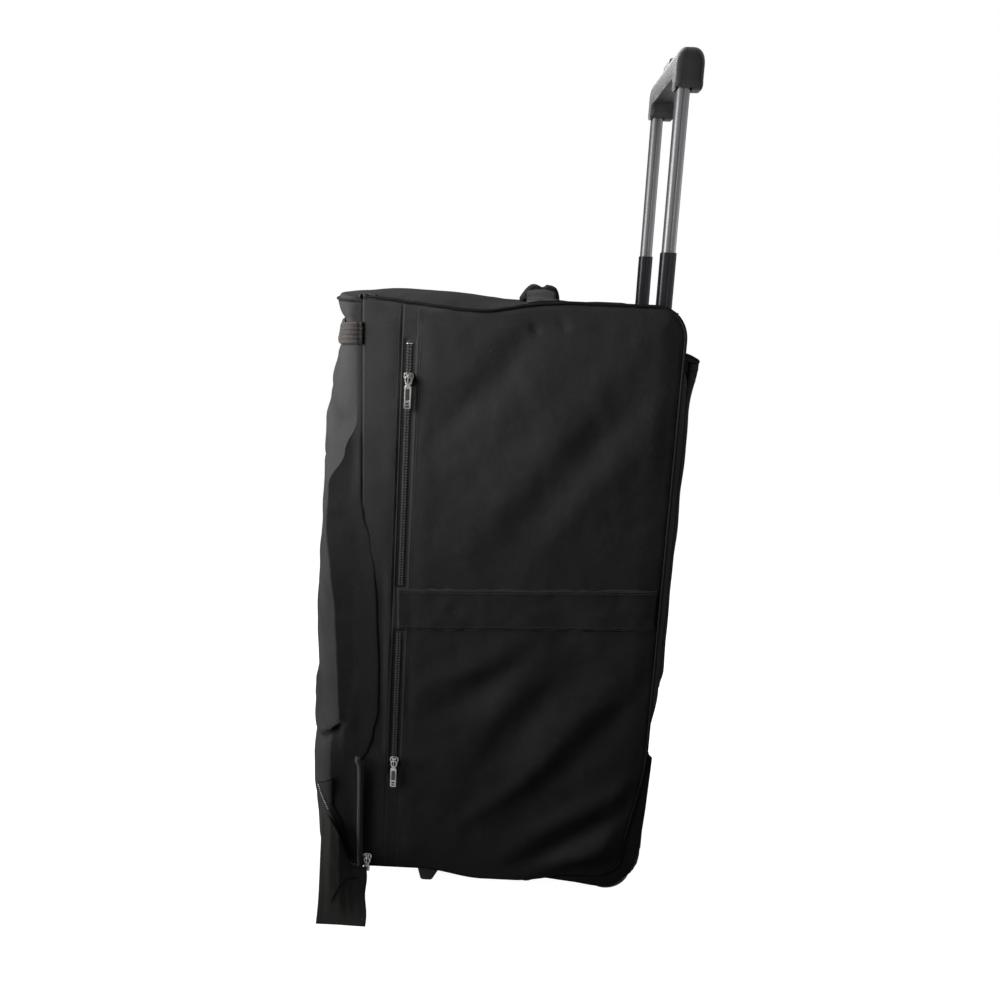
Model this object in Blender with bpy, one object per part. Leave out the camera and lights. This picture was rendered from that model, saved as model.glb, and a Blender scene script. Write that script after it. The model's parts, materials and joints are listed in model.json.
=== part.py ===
"""Upright wheeled snowboard bag with a zipped front lid and a telescopic trolley.

Metres. +Z is up, +X is the side with the two zipped pockets, -Y the front lid, +Y the trolley and
the wheels. The origin lies on the floor, under the middle of the bag. Each named object is one piece.
"""
import math

import bmesh
import bpy
from mathutils import Matrix, Vector

# Body
WIDTH = 0.350            # across the two side panels
TOP_Z = 0.806            # top of the top panel
BASE_Z = 0.034           # underside of the base panel
SEAM_Y = -0.166          # zip line between the lid and the body
DEPTH = 0.379            # from the zip line to the back panel's face
WALL = 0.005             # padded fabric
GAP = 0.0003             # between neighbouring solids
BEND_END = 0.002         # straight run past each bend of a panel
TOP_BACK_RADIUS = 0.045  # corner of the side panel at the top back
BASE_BACK_RADIUS = 0.030
HEEL_INSET = 0.022       # the side panel steps in ahead of the wheel guard
HEEL_RISE = 0.195        # height of that step above the base
HEEL_BEND = 0.060        # radius of the bend at its top

# Lid
LID_TOP_DEPTH = 0.045    # from the zip line to the crown, at the top
LID_LOW_DEPTH = 0.088    # the same where the lid bulges most
LID_LOW_Z = 0.25         # height of the fullest place
LID_SHAPE = 3.0          # exponent of the crown's superellipse
LID_EDGE_RADIUS = 0.015  # rounding of its top and bottom edges
FLAP_SPREAD = 0.075      # how far the slack corner spreads out on the floor
FLAP_DEPTH = 0.052       # along Y
FLAP_TOP = 0.105
FLAP_THICK = 0.003
FLAP_FLOOR = 0.001       # its hem just clears the floor
STRAP_DROP = 0.040       # middle of the webbing across the lid, below the top
STRAP_WIDTH = 0.027
STRAP_THICK = 0.0025

# Side trim
BAND_LOW_Z = 0.393       # lower edge at its front end
BAND_HEIGHT = 0.057
BAND_RISE = 0.0135       # higher at the back by this much
BAND_THICK = 0.0015
PIPING_R = 0.0030
POCKET_ZIP_TOP = (-0.110, 0.762)     # (Y, Z) of the pocket zips' line
POCKET_ZIP_LOW = (-0.124, 0.190)
TAPE_WIDTH = 0.016
TAPE_THICK = 0.0012
UPPER_SLIDER_Z = 0.716
LOWER_SLIDER_Z = 0.203
MAIN_SLIDER_Z = 0.050

# Zip slider and pull
SLIDER_LENGTH = 0.014
SLIDER_WIDTH = 0.012
SLIDER_THICK = 0.0034
BRIDGE_HEIGHT = 0.0046   # above the slider's plate
BRIDGE_BAR = 0.0012
BRIDGE_WIDTH = 0.0026
PULL_BAR = 0.0016        # thickness of the pull
PULL_WIDTH = 0.0085
PULL_LENGTH = 0.037
MAIN_PULL_LENGTH = 0.020

# Trolley
POLE_INSET = 0.079       # middle of each tube, in from the side panel's face
POLE_IN = 0.016          # middle of each tube, in from the back panel's face
INNER_TUBE = (0.0200, 0.0158)        # outside, across X and Y
TUBE_WALL = 0.0009
TUBE_CORNER = 0.0050
SLIDE_GAP = 0.0004       # running gap between two stages
OUTER_LOW_Z = 0.100
OUTER_DROP = 0.005       # top of the outer tubes, below the bezel's top
MIDDLE_REACH = 0.071     # top of the middle tubes, above the bezel, as far as they are drawn out
MIDDLE_LENGTH = 0.420
INNER_OVERLAP = 0.070    # of the inner tube inside the middle one at full reach
GRIP_REACH = 0.187       # underside of the grip above the middle tubes, fully out
GRIP_HEIGHT = 0.044
GRIP_BAR = 0.030
GRIP_DEPTH = 0.034
GRIP_ARM = 0.032         # width of each arm of the grip
GRIP_SOCKET = 0.022      # how deep a tube sits in the grip
BUTTON_LENGTH = 0.048
BUTTON_DEPTH = 0.015
BUTTON_PROUD = 0.0045
BUTTON_TRAVEL = 0.004
YOKE_THICK = 0.006
ROD_R = 0.0020
BEZEL_MARGIN = 0.029     # of the bezel, and of the sleeve below it, beyond a tube's middle
BEZEL_DEPTH = 0.031
BEZEL_DROP = 0.003       # its top, below the bag's
BRACKET_MARGIN = 0.019   # of the bracket beyond a tube's middle
BRACKET_HEIGHT = 0.030
BOARD_THICK = 0.003
SLEEVE_LOW_Z = 0.300
SLEEVE_DROP = 0.051      # its open top, below the bag's
SLEEVE_ROOM = 0.006      # how far its front stands off the back, below the flare
SLEEVE_FLARE = 0.036     # how far its open lip stands off the back
SLEEVE_THICK = 0.003

# Grab handle on the top
HANDLE_IN = 0.1685       # its middle, in from the back panel's face
HANDLE_HALF = 0.092
HANDLE_WIDTH = 0.038
HANDLE_RISE = 0.0145     # underside of the webbing above the top panel
HANDLE_THICK = 0.003
WRAP_HALF = 0.046
WRAP_WALL = 0.0040

# Wheels, guards and feet
WHEEL_R = 0.035
WHEEL_WIDTH = 0.024
WHEEL_INSET = 0.029      # middle of the wheel, in from the side panel's face
WHEEL_IN = 0.038         # the axle, in from the back panel's face
HUB_R = 0.0225
HUB_SPOKES = 5
HUB_SPOKE = 0.0040       # width of a spoke
HUB_WALL = 0.0022        # round the bearings
HUB_RIM = 0.0045         # under the tyre
TREAD_GROOVE = 0.0016    # depth of the tyre's two grooves
BEARING_R = 0.011
BEARING_WIDTH = 0.007
AXLE_R = 0.0040
RUN_GAP = 0.0004         # bearing on axle
WELL_GAP = 0.004         # wheel in its well
GUARD_REACH = 0.0795     # its inner edge, in from the side panel's face
GUARD_TOP_Z = 0.228
GUARD_PLATE = 0.003
GUARD_PROUD = 0.004      # stands off the back panel
GUARD_FOOT_Z = 0.020
GUARD_BOX_FRONT = 0.040  # wheel box ahead of the axle
GUARD_RIB = 0.0025
FOOT_BACK = 0.0915       # middle of a foot, behind the zip line
FOOT_INSET = 0.033       # middle of a foot, in from the side panel's face
FOOT_LENGTH = 0.042
FOOT_TOE = 0.008         # slope of its front end
FOOT_HEEL = 0.018        # slope of its rear end
FOOT_ROUND = 0.005
FOOT_WIDTH = 0.026
STUD_INSET = 0.0415
STUD_IN = 0.1505         # middle of a glide, in from the back panel's face
STUD_R = 0.0165

BACK_Y = SEAM_Y + DEPTH  # outer face of the back panel
POLE_Y = BACK_Y - POLE_IN
WHEEL_Y = BACK_Y - WHEEL_IN
HANDLE_Y = BACK_Y - HANDLE_IN
STUD_Y = BACK_Y - STUD_IN
FOOT_Y = SEAM_Y + FOOT_BACK
STRAP_Z = TOP_Z - STRAP_DROP
SLEEVE_TOP_Z = TOP_Z - SLEEVE_DROP
BEZEL_TOP_Z = TOP_Z - BEZEL_DROP
BEZEL_LOW_Z = TOP_Z - TOP_BACK_RADIUS - BEND_END     # it stands on the back panel's top edge
OUTER_TOP_Z = BEZEL_TOP_Z - OUTER_DROP
MIDDLE_TOP_Z = BEZEL_TOP_Z + MIDDLE_REACH
GRIP_LOW_Z = MIDDLE_TOP_Z + GRIP_REACH
HALF = WIDTH / 2
INSIDE = HALF - WALL     # inner face of a side panel
POLE_X = HALF - POLE_INSET
BEZEL_HALF = POLE_X + BEZEL_MARGIN
BRACKET_HALF = POLE_X + BRACKET_MARGIN
SLEEVE_HALF = BEZEL_HALF
WHEEL_X = HALF - WHEEL_INSET
GUARD_INNER_X = HALF - GUARD_REACH
FOOT_X = HALF - FOOT_INSET
STUD_X = HALF - STUD_INSET
SEGMENTS = 24


def clear_scene():
    for thing in list(bpy.data.objects):
        bpy.data.objects.remove(thing, do_unlink=True)


def material(name, colour, roughness, metallic=0.0):
    made = bpy.data.materials.new(name)
    made.use_nodes = True
    shader = made.node_tree.nodes["Principled BSDF"]
    shader.inputs["Base Color"].default_value = (*colour, 1.0)
    shader.inputs["Roughness"].default_value = roughness
    shader.inputs["Metallic"].default_value = metallic
    return made


clear_scene()
FABRIC = material("polyester", (0.016, 0.017, 0.019), 0.75)
LID_FABRIC = material("lid_polyester", (0.022, 0.022, 0.022), 0.72)
WEBBING = material("webbing", (0.090, 0.088, 0.084), 0.80)
PIPING = material("piping", (0.012, 0.012, 0.013), 0.55)
TAPE = material("zip_tape", (0.020, 0.020, 0.022), 0.80)
STEEL = material("nickel_steel", (0.45, 0.44, 0.42), 0.25, 1.0)
ALUMINIUM = material("dark_aluminium", (0.10, 0.10, 0.11), 0.32, 1.0)
PLASTIC = material("moulded_plastic", (0.020, 0.021, 0.023), 0.45)
BOARD = material("stiffener_board", (0.030, 0.030, 0.030), 0.60)
TYRE = material("polyurethane", (0.030, 0.030, 0.030), 0.55)


# Outlines

def rounded(corners, steps=4):
    """Closed outline through (a, b, radius) corners, each one an arc of so many steps."""
    outline = []
    count = len(corners)
    for index, (a, b, radius) in enumerate(corners):
        here = Vector((a, b))
        before = Vector(corners[index - 1][:2]) - here
        after = Vector(corners[(index + 1) % count][:2]) - here
        if radius <= 0:
            outline.append((a, b))
            continue
        before_way = before.normalized()
        after_way = after.normalized()
        half_angle = before_way.angle(after_way) / 2
        reach = radius / math.tan(half_angle)
        centre = here + (before_way + after_way).normalized() * (radius / math.sin(half_angle))
        start = here + before_way * reach - centre
        turn = math.pi - 2 * half_angle
        side = 1 if start.cross(here + after_way * reach - centre) > 0 else -1
        for step in range(steps + 1):
            angle = side * turn * step / steps
            spoke = Matrix.Rotation(angle, 2) @ start
            outline.append(tuple(centre + spoke))
    return outline


def oblong(half_a, half_b, radius, middle=(0.0, 0.0), steps=3):
    a, b = middle
    return rounded([(a - half_a, b - half_b, radius), (a + half_a, b - half_b, radius),
                    (a + half_a, b + half_b, radius), (a - half_a, b + half_b, radius)], steps)


def circle(radius, middle=(0.0, 0.0), count=SEGMENTS):
    turns = [2 * math.pi * step / count for step in range(count)]
    return [(middle[0] + radius * math.cos(t), middle[1] + radius * math.sin(t)) for t in turns]


def thickened(path, thickness):
    """Outline of a strip that follows an open path and lies on its left side."""
    shifted = []
    for index, point in enumerate(path):
        here = Vector(point)
        ahead = (Vector(path[index + 1]) - here).normalized() if index + 1 < len(path) else None
        behind = (here - Vector(path[index - 1])).normalized() if index else None
        ways = [way for way in (behind, ahead) if way]
        way = sum(ways, Vector((0.0, 0.0))).normalized()
        lean = way.dot(ways[0])
        shifted.append(tuple(here + Vector((-way.y, way.x)) * thickness / lean))
    return [tuple(point) for point in path] + shifted[::-1]


def smooth_path(points, steps=6):
    """Catmull-Rom curve through the points."""
    ends = [points[0]] + list(points) + [points[-1]]
    path = []
    for index in range(len(points) - 1):
        p0, p1, p2, p3 = (Vector(p) for p in ends[index:index + 4])
        for step in range(steps):
            t = step / steps
            path.append(0.5 * (2 * p1 + (p2 - p0) * t + (2 * p0 - 5 * p1 + 4 * p2 - p3) * t * t
                               + (3 * p1 - p0 - 3 * p2 + p3) * t ** 3))
    path.append(Vector(points[-1]))
    return path


# Solids

def in_space(axis, along, pair):
    a, b = pair
    return {"x": (along, a, b), "y": (a, along, b), "z": (a, b, along)}[axis]


def from_mesh(name, bm, paint):
    bmesh.ops.recalc_face_normals(bm, faces=bm.faces)
    mesh = bpy.data.meshes.new(name)
    bm.to_mesh(mesh)
    bm.free()
    mesh.materials.append(paint)
    solid = bpy.data.objects.new(name, mesh)
    bpy.context.collection.objects.link(solid)
    return solid


def loft(name, rings, paint, capped=True):
    """Skin over rings of equal count; without caps the last ring joins the first."""
    bm = bmesh.new()
    rows = [[bm.verts.new(point) for point in ring] for ring in rings]
    count = len(rows[0])
    pairs = list(zip(rows, rows[1:])) + ([] if capped else [(rows[-1], rows[0])])
    for low, high in pairs:
        for i in range(count):
            j = (i + 1) % count
            bm.faces.new((low[i], low[j], high[j], high[i]))
    if capped:
        bm.faces.new(rows[0])
        bm.faces.new(rows[-1])
    return from_mesh(name, bm, paint)


def prism(name, outline, axis, low, high, paint):
    rings = [[in_space(axis, along, pair) for pair in outline] for along in (low, high)]
    return loft(name, rings, paint)


def tube(name, outer, inner, axis, low, high, paint):
    """Open tube between two outlines of equal count."""
    stations = [(outer, low), (outer, high), (inner, high), (inner, low)]
    rings = [[in_space(axis, along, pair) for pair in outline] for outline, along in stations]
    return loft(name, rings, paint, capped=False)


def lathe(name, stations, axis, middle, paint, count=SEGMENTS):
    """Solid of revolution with flat ends, from (along, radius) stations."""
    rings = [[in_space(axis, along, pair) for pair in circle(radius, middle, count)]
             for along, radius in stations]
    return loft(name, rings, paint)


def ring(name, stations, axis, middle, paint, count=SEGMENTS):
    """Ring of revolution from a closed profile of (along, radius) stations."""
    rings = [[in_space(axis, along, pair) for pair in circle(radius, middle, count)]
             for along, radius in stations]
    return loft(name, rings, paint, capped=False)


def box(name, low, high, paint=PLASTIC):
    outline = [(low[0], low[1]), (high[0], low[1]), (high[0], high[1]), (low[0], high[1])]
    return prism(name, outline, "z", low[2], high[2], paint)


def combine(target, tool, operation):
    """Boolean of target with a helper that the model leaves out."""
    tool.hide_render = True
    tool.display_type = "WIRE"
    step = target.modifiers.new(tool.name, "BOOLEAN")
    step.operation = operation
    step.solver = "EXACT"
    step.object = tool
    return target


def cut(target, *tools):
    for tool in tools:
        combine(target, tool, "DIFFERENCE")
    return target


def soften(target, width, segments=2):
    edge = target.modifiers.new("soft edges", "BEVEL")
    edge.width = width
    edge.segments = segments
    edge.limit_method = "ANGLE"
    edge.angle_limit = math.radians(40)
    return target


def smooth(target, angle=40):
    target.data.shade_smooth()
    target.data.set_sharp_from_angle(angle=math.radians(angle))
    return target


def axis_at(name, place):
    """Empty on a joint's axis, which carries the pieces that move about it."""
    empty = bpy.data.objects.new(name, None)
    empty.location = place
    empty.empty_display_size = 0.02
    bpy.context.collection.objects.link(empty)
    return empty


def carry(empty, *pieces):
    for piece in pieces:
        piece.data.transform(Matrix.Translation(-empty.location))
        piece.parent = empty
        for step in piece.modifiers:
            if step.type == "BOOLEAN" and step.object.parent is None:
                step.object.data.transform(Matrix.Translation(-empty.location))
                step.object.parent = empty


def sided(name, side):
    return f"{name}_{'right' if side > 0 else 'left'}"


def span(side, near, far):
    """Two X values in rising order, mirrored for the left side."""
    return sorted((side * near, side * far))


# Body of the bag

def side_outline():
    """Side panel in Y and Z: square at the zip line, round at the top back, stepped in at the heel."""
    front = SEAM_Y + GAP
    heel_y = BACK_Y - HEEL_INSET
    return rounded([(front, BASE_Z, 0.004),
                    (heel_y - HEEL_INSET, BASE_Z, 0.012),
                    (heel_y, BASE_Z + HEEL_INSET, 0.012),
                    (BACK_Y, BASE_Z + HEEL_RISE, HEEL_BEND),
                    (BACK_Y, TOP_Z, TOP_BACK_RADIUS),
                    (front, TOP_Z, 0.004)])


def side_panels():
    for side in (1, -1):
        low, high = span(side, INSIDE, HALF)
        prism(sided("side_panel", side), side_outline(), "x", low, high, FABRIC)


def top_panel():
    """Strip from the zip line over the round back corner, with a slot for the trolley's bezel."""
    centre_y = BACK_Y - TOP_BACK_RADIUS
    centre_z = TOP_Z - TOP_BACK_RADIUS
    bend = [math.radians(90 - 90 * step / 6) for step in range(7)]
    path = [(SEAM_Y + GAP, TOP_Z)] + [(centre_y + TOP_BACK_RADIUS * math.cos(a),
                                       centre_z + TOP_BACK_RADIUS * math.sin(a)) for a in bend]
    path.append((BACK_Y, BEZEL_LOW_Z))
    outline = thickened(path[::-1], WALL)
    panel = prism("top_panel", outline, "x", GAP - INSIDE, INSIDE - GAP, FABRIC)
    slot_low = (-BEZEL_HALF - GAP, POLE_Y - BEZEL_DEPTH / 2 - GAP, BEZEL_LOW_Z - WALL)
    slot_high = (BEZEL_HALF + GAP, BACK_Y + WALL, TOP_Z + WALL)
    cut(panel, box("bezel_slot", slot_low, slot_high))


def back_panel():
    """Flat back, narrowed between the wheel guards, with the slot of the bezel at its top."""
    top = BEZEL_LOW_Z - GAP
    foot = BASE_Z + BASE_BACK_RADIUS + BEND_END + GAP
    wide = INSIDE - GAP
    narrow = GUARD_INNER_X - GAP
    waist = GUARD_TOP_Z + GAP
    outline = [(-narrow, foot), (narrow, foot), (narrow, waist), (wide, waist), (wide, top),
               (-wide, top), (-wide, waist), (-narrow, waist)]
    prism("back_panel", outline, "y", BACK_Y - WALL, BACK_Y, FABRIC)


def base_panel():
    """Strip under the bag that turns up between the wheel guards."""
    front = SEAM_Y + GAP
    guard_front = WHEEL_Y - GUARD_BOX_FRONT - GAP
    wide = prism("base_panel", [(front, BASE_Z), (guard_front, BASE_Z),
                                (guard_front, BASE_Z + WALL), (front, BASE_Z + WALL)],
                 "x", GAP - INSIDE, INSIDE - GAP, FABRIC)
    centre_y = BACK_Y - BASE_BACK_RADIUS
    centre_z = BASE_Z + BASE_BACK_RADIUS
    bend = [math.radians(-90 + 90 * step / 5) for step in range(6)]
    path = [(guard_front - WALL, BASE_Z)]
    path += [(centre_y + BASE_BACK_RADIUS * math.cos(a), centre_z + BASE_BACK_RADIUS * math.sin(a))
             for a in bend]
    path.append((BACK_Y, centre_z + BEND_END))
    tongue = prism("base_tongue", thickened(path, WALL), "x", GAP - GUARD_INNER_X,
                   GUARD_INNER_X - GAP, FABRIC)
    combine(wide, tongue, "UNION")


def boards():
    """Stiff sheets inside: one ahead of the trolley tubes, one on the base."""
    back_y = POLE_Y - outer_tube_size()[1] / 2 - GAP * 4
    top = BEZEL_LOW_Z - GAP
    wide = INSIDE - 0.009
    narrow = WHEEL_X - guard_well_half() - 2 * GUARD_PLATE
    foot = BASE_Z + WALL + BOARD_THICK + 2 * GAP
    shoulder = guard_box_top() + 0.012
    outline = [(-narrow, foot), (narrow, foot), (narrow, shoulder), (wide, shoulder), (wide, top),
               (-wide, top), (-wide, shoulder), (-narrow, shoulder)]
    prism("back_board", outline, "y", back_y - BOARD_THICK, back_y, BOARD)
    low = (GAP - INSIDE + 0.004, SEAM_Y + 0.008, BASE_Z + WALL + GAP)
    high = (INSIDE - 0.004 - GAP, WHEEL_Y - GUARD_BOX_FRONT - 0.002, BASE_Z + WALL + GAP + BOARD_THICK)
    box("base_board", low, high, BOARD)


def lid_depth(z):
    """From the zip line to the crown of the lid at this height."""
    reach = (TOP_Z - LID_LOW_Z) if z > LID_LOW_Z else (LID_LOW_Z - BASE_Z) * 3
    share = min(1.0, abs(z - LID_LOW_Z) / reach)
    depth = LID_LOW_DEPTH - (LID_LOW_DEPTH - LID_TOP_DEPTH) * share ** 1.3
    edge = min(TOP_Z - z, z - BASE_Z)
    if edge < LID_EDGE_RADIUS:
        slack = 1 - edge / LID_EDGE_RADIUS
        depth -= LID_EDGE_RADIUS * (1 - math.sqrt(max(0.0, 1 - slack * slack)))
    return depth


def lid_section(z, inset=0.0, back=0.0, count=16):
    """Half of a superellipse from one side of the bag round the crown to the other."""
    depth = lid_depth(z) - inset
    points = []
    for step in range(count + 1):
        turn = math.pi * step / count
        across = math.copysign(abs(math.cos(turn)) ** (2 / LID_SHAPE), math.cos(turn))
        out = math.sin(turn) ** (2 / LID_SHAPE)
        points.append(((HALF - inset) * across, SEAM_Y - GAP + back - (depth - GAP + back) * out))
    return points


def front_lid():
    """Crowned tray of padded fabric, open towards the body."""
    edge = LID_EDGE_RADIUS
    rise = TOP_Z - BASE_Z
    ends = [0.0, 0.35 * edge, edge]
    levels = [BASE_Z + end for end in ends]
    levels += [BASE_Z + edge + (rise - 2 * edge) * step / 8 for step in range(1, 8)]
    levels += [TOP_Z - end for end in reversed(ends)]
    rings = [[(x, y, z) for x, y in lid_section(z)] for z in levels]
    lid = loft("front_lid", rings, LID_FABRIC)
    inner_levels = [max(BASE_Z + WALL, min(TOP_Z - WALL, z)) for z in levels]
    inner_levels = sorted(set(inner_levels))
    inner = [[(x, y, z) for x, y in lid_section(z, WALL, WALL)] for z in inner_levels]
    cut(lid, loft("lid_hollow", inner, LID_FABRIC))
    return lid


def lid_flaps():
    """Slack lower corners of the lid, which spread out over the floor."""
    made = []
    for side in (1, -1):
        outer = HALF + 2 * GAP
        path = smooth_path([(outer, FLAP_TOP), (outer, 0.060), (outer + 0.006, 0.034),
                            (outer + 0.45 * FLAP_SPREAD, 0.0125),
                            (HALF + FLAP_SPREAD, FLAP_FLOOR + FLAP_THICK * 0.2)], 4)
        outline = [(side * x, z) for x, z in thickened(path, FLAP_THICK)]
        back = SEAM_Y - 0.004
        made.append(prism(sided("lid_flap", side), outline, "y", back - FLAP_DEPTH, back, LID_FABRIC))
    return made


def front_strap():
    """Webbing across the top of the lid, its ends sewn to the lid's sides."""
    low = STRAP_Z - STRAP_WIDTH / 2
    outline = thickened(lid_section(low, -2 * GAP), STRAP_THICK)
    return prism("front_strap", outline, "z", low, low + STRAP_WIDTH, WEBBING)


def side_bands():
    """Fabric band across each side, which parts the upper pocket from the lower one."""
    front = POCKET_ZIP_TOP[0] - TAPE_WIDTH / 2 - 0.004
    back = BACK_Y - 0.004
    outline = [(front, BAND_LOW_Z), (back, BAND_LOW_Z + BAND_RISE),
               (back, BAND_LOW_Z + BAND_RISE + BAND_HEIGHT), (front, BAND_LOW_Z + BAND_HEIGHT)]
    for side in (1, -1):
        low, high = span(side, HALF + GAP, HALF + GAP + BAND_THICK)
        prism(sided("side_band", side), outline, "x", low, high, FABRIC)


def piping():
    """Corded edge of each side panel, from the zip line over the top and down to the base."""
    for side in (1, -1):
        curve = bpy.data.curves.new(sided("piping_path", side), "CURVE")
        curve.dimensions = "3D"
        curve.bevel_depth = PIPING_R
        curve.bevel_resolution = 1
        curve.use_fill_caps = True
        route = [point for point in side_outline() if point[0] > SEAM_Y + 0.006]
        inset = PIPING_R * 0.8
        middle = Vector((0.02, TOP_Z / 2))
        spline = curve.splines.new("POLY")
        spline.points.add(len(route) - 1)
        for point, (y, z) in zip(spline.points, route):
            inward = (middle - Vector((y, z))).normalized() * inset
            point.co = (side * (HALF + GAP * 2 + PIPING_R), y + inward.x, z + inward.y, 1)
        piece = bpy.data.objects.new(sided("piping", side), curve)
        curve.materials.append(PIPING)
        bpy.context.collection.objects.link(piece)


# Zips

def zip_line(z):
    """Y of the pocket zips' line at a height."""
    (top_y, top_z), (low_y, low_z) = POCKET_ZIP_TOP, POCKET_ZIP_LOW
    return low_y + (top_y - low_y) * (z - low_z) / (top_z - low_z)


def zip_way():
    (top_y, top_z), (low_y, low_z) = POCKET_ZIP_TOP, POCKET_ZIP_LOW
    return Vector((0.0, top_y - low_y, top_z - low_z)).normalized()


def pocket_tapes():
    upper_low = BAND_LOW_Z + BAND_HEIGHT + 0.002
    lower_top = BAND_LOW_Z - 0.002
    spans = {"zip_tape_upper": (upper_low, POCKET_ZIP_TOP[1]),
             "zip_tape_lower": (POCKET_ZIP_LOW[1] - 0.010, lower_top)}
    half = TAPE_WIDTH / 2
    for name, (low, high) in spans.items():
        outline = [(zip_line(low) - half, low), (zip_line(low) + half, low),
                   (zip_line(high) + half, high), (zip_line(high) - half, high)]
        prism(name, outline, "x", HALF + GAP, HALF + GAP + TAPE_THICK, TAPE)


def main_tape():
    """Body half of the lid's zip: up both sides and under the base, just behind the zip line."""
    out = HALF + GAP + TAPE_THICK
    under = BASE_Z - GAP - TAPE_THICK
    top = TOP_Z - 0.006
    outer = [(-out, top), (-out, under), (out, under), (out, top)]
    inner = [(HALF + GAP, top), (HALF + GAP, BASE_Z - GAP), (-HALF - GAP, BASE_Z - GAP),
             (-HALF - GAP, top)]
    front = SEAM_Y + GAP
    prism("main_zip_tape", outer + inner, "y", front, front + TAPE_WIDTH / 2, TAPE)


def slider(name, place, way, pull_length):
    """Slider with a bridge, and a pull whose top bar hangs under that bridge."""
    across = way.cross(Vector((1, 0, 0))).normalized()
    turn = Matrix((Vector((1, 0, 0)), across, way)).transposed().to_4x4()
    seat = Matrix.Translation(place) @ turn
    half_l = SLIDER_LENGTH / 2
    half_w = SLIDER_WIDTH / 2
    shape = rounded([(-half_w * 0.72, -half_l, 0.002), (half_w * 0.72, -half_l, 0.002),
                     (half_w, half_l * 0.35, 0.004), (half_w * 0.8, half_l, 0.002),
                     (-half_w * 0.8, half_l, 0.002), (-half_w, half_l * 0.35, 0.004)], 2)
    body = prism(name, shape, "x", 0.0, SLIDER_THICK, STEEL)
    arch = SLIDER_THICK + BRIDGE_HEIGHT
    foot = half_l - 0.0015
    bar = BRIDGE_BAR
    hoop = [(SLIDER_THICK - 0.0005, -foot), (arch - 0.002, -foot), (arch, -foot + 0.0025),
            (arch, foot - 0.0025), (arch - 0.002, foot), (SLIDER_THICK - 0.0005, foot),
            (SLIDER_THICK - 0.0005, foot - bar), (arch - 0.002 - bar * 0.3, foot - bar),
            (arch - bar, foot - 0.0025 - bar * 0.4), (arch - bar, -foot + 0.0025 + bar * 0.4),
            (arch - 0.002 - bar * 0.3, -foot + bar), (SLIDER_THICK - 0.0005, -foot + bar)]
    rings = [[(x, y, z) for x, z in hoop] for y in (-BRIDGE_WIDTH / 2, BRIDGE_WIDTH / 2)]
    bridge = loft(name + "_bridge", rings, STEEL)
    combine(body, bridge, "UNION")
    hang_x = SLIDER_THICK + (BRIDGE_HEIGHT - bar) / 2
    half_pull = PULL_WIDTH / 2
    bar_half = PULL_BAR / 2
    plate = rounded([(-half_pull, bar_half, 0.0012), (-half_pull * 0.9, -pull_length + 0.001, 0.002),
                     (half_pull * 0.9, -pull_length + 0.001, 0.002), (half_pull, bar_half, 0.0012)], 2)
    pull = prism(name.replace("slider", "pull"), plate, "x", hang_x - bar_half, hang_x + bar_half, STEEL)
    window_half = BRIDGE_WIDTH / 2 + 0.0012
    window_low = -foot - 0.0035
    window = rounded([(-window_half, -bar_half, 0.001), (window_half, -bar_half, 0.001),
                      (window_half, window_low, 0.001), (-window_half, window_low, 0.001)], 2)
    cut(pull, prism(name + "_window", window, "x", 0.0, arch, STEEL))
    slots = []
    if pull_length > 0.03:
        for rank in (0, 1):
            low = -pull_length + 0.0035 + rank * 0.0035
            slots.append(box(f"{name}_slot_{rank}", (hang_x - 0.01, -half_pull * 0.45, low),
                             (hang_x + 0.01, half_pull * 0.45, low + 0.0018), STEEL))
    cut(pull, *slots)
    for piece in [body, bridge, pull] + [step.object for step in pull.modifiers]:
        piece.data.transform(seat)
    return body, pull, seat @ Vector((hang_x, 0.0, 0.0))


def zip_sliders():
    rest_x = HALF + 2 * GAP + TAPE_THICK
    plan = {"upper_zip_slider": (zip_line(UPPER_SLIDER_Z), UPPER_SLIDER_Z, zip_way(), PULL_LENGTH),
            "lower_zip_slider": (zip_line(LOWER_SLIDER_Z), LOWER_SLIDER_Z, zip_way(), PULL_LENGTH),
            "main_zip_slider": (SEAM_Y + GAP + SLIDER_WIDTH / 2, MAIN_SLIDER_Z, Vector((0, 0, 1)),
                                MAIN_PULL_LENGTH)}
    for name, (y, z, way, pull_length) in plan.items():
        body, pull, pivot = slider(name, Vector((rest_x, y, z)), way, pull_length)
        carry(axis_at(name + "_pivot", pivot), body, pull)


# Trolley

def middle_tube_size():
    step = 2 * (TUBE_WALL + SLIDE_GAP)
    return INNER_TUBE[0] + step, INNER_TUBE[1] + step


def outer_tube_size():
    step = 2 * (TUBE_WALL + SLIDE_GAP)
    width, depth = middle_tube_size()
    return width + step, depth + step


def pole(name, side, size, low, high):
    middle = (side * POLE_X, POLE_Y)
    half_x, half_y = size[0] / 2, size[1] / 2
    outer = oblong(half_x, half_y, TUBE_CORNER, middle)
    inner = oblong(half_x - TUBE_WALL, half_y - TUBE_WALL, TUBE_CORNER - TUBE_WALL, middle)
    return smooth(tube(name, outer, inner, "z", low, high, ALUMINIUM), 50)


def trolley_tubes():
    middle_low = MIDDLE_TOP_Z - MIDDLE_LENGTH
    inner_low = MIDDLE_TOP_Z - INNER_OVERLAP
    stage = axis_at("stage_slide", (0, POLE_Y, BEZEL_TOP_Z))
    handle = axis_at("handle_slide", (0, POLE_Y, MIDDLE_TOP_Z))
    for side in (1, -1):
        pole(sided("outer_tube", side), side, outer_tube_size(), OUTER_LOW_Z, OUTER_TOP_Z)
        carry(stage, pole(sided("middle_tube", side), side, middle_tube_size(), middle_low,
                          MIDDLE_TOP_Z))
        carry(handle, pole(sided("inner_tube", side), side, INNER_TUBE, inner_low,
                           GRIP_LOW_Z + GRIP_SOCKET))
    return handle


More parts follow.
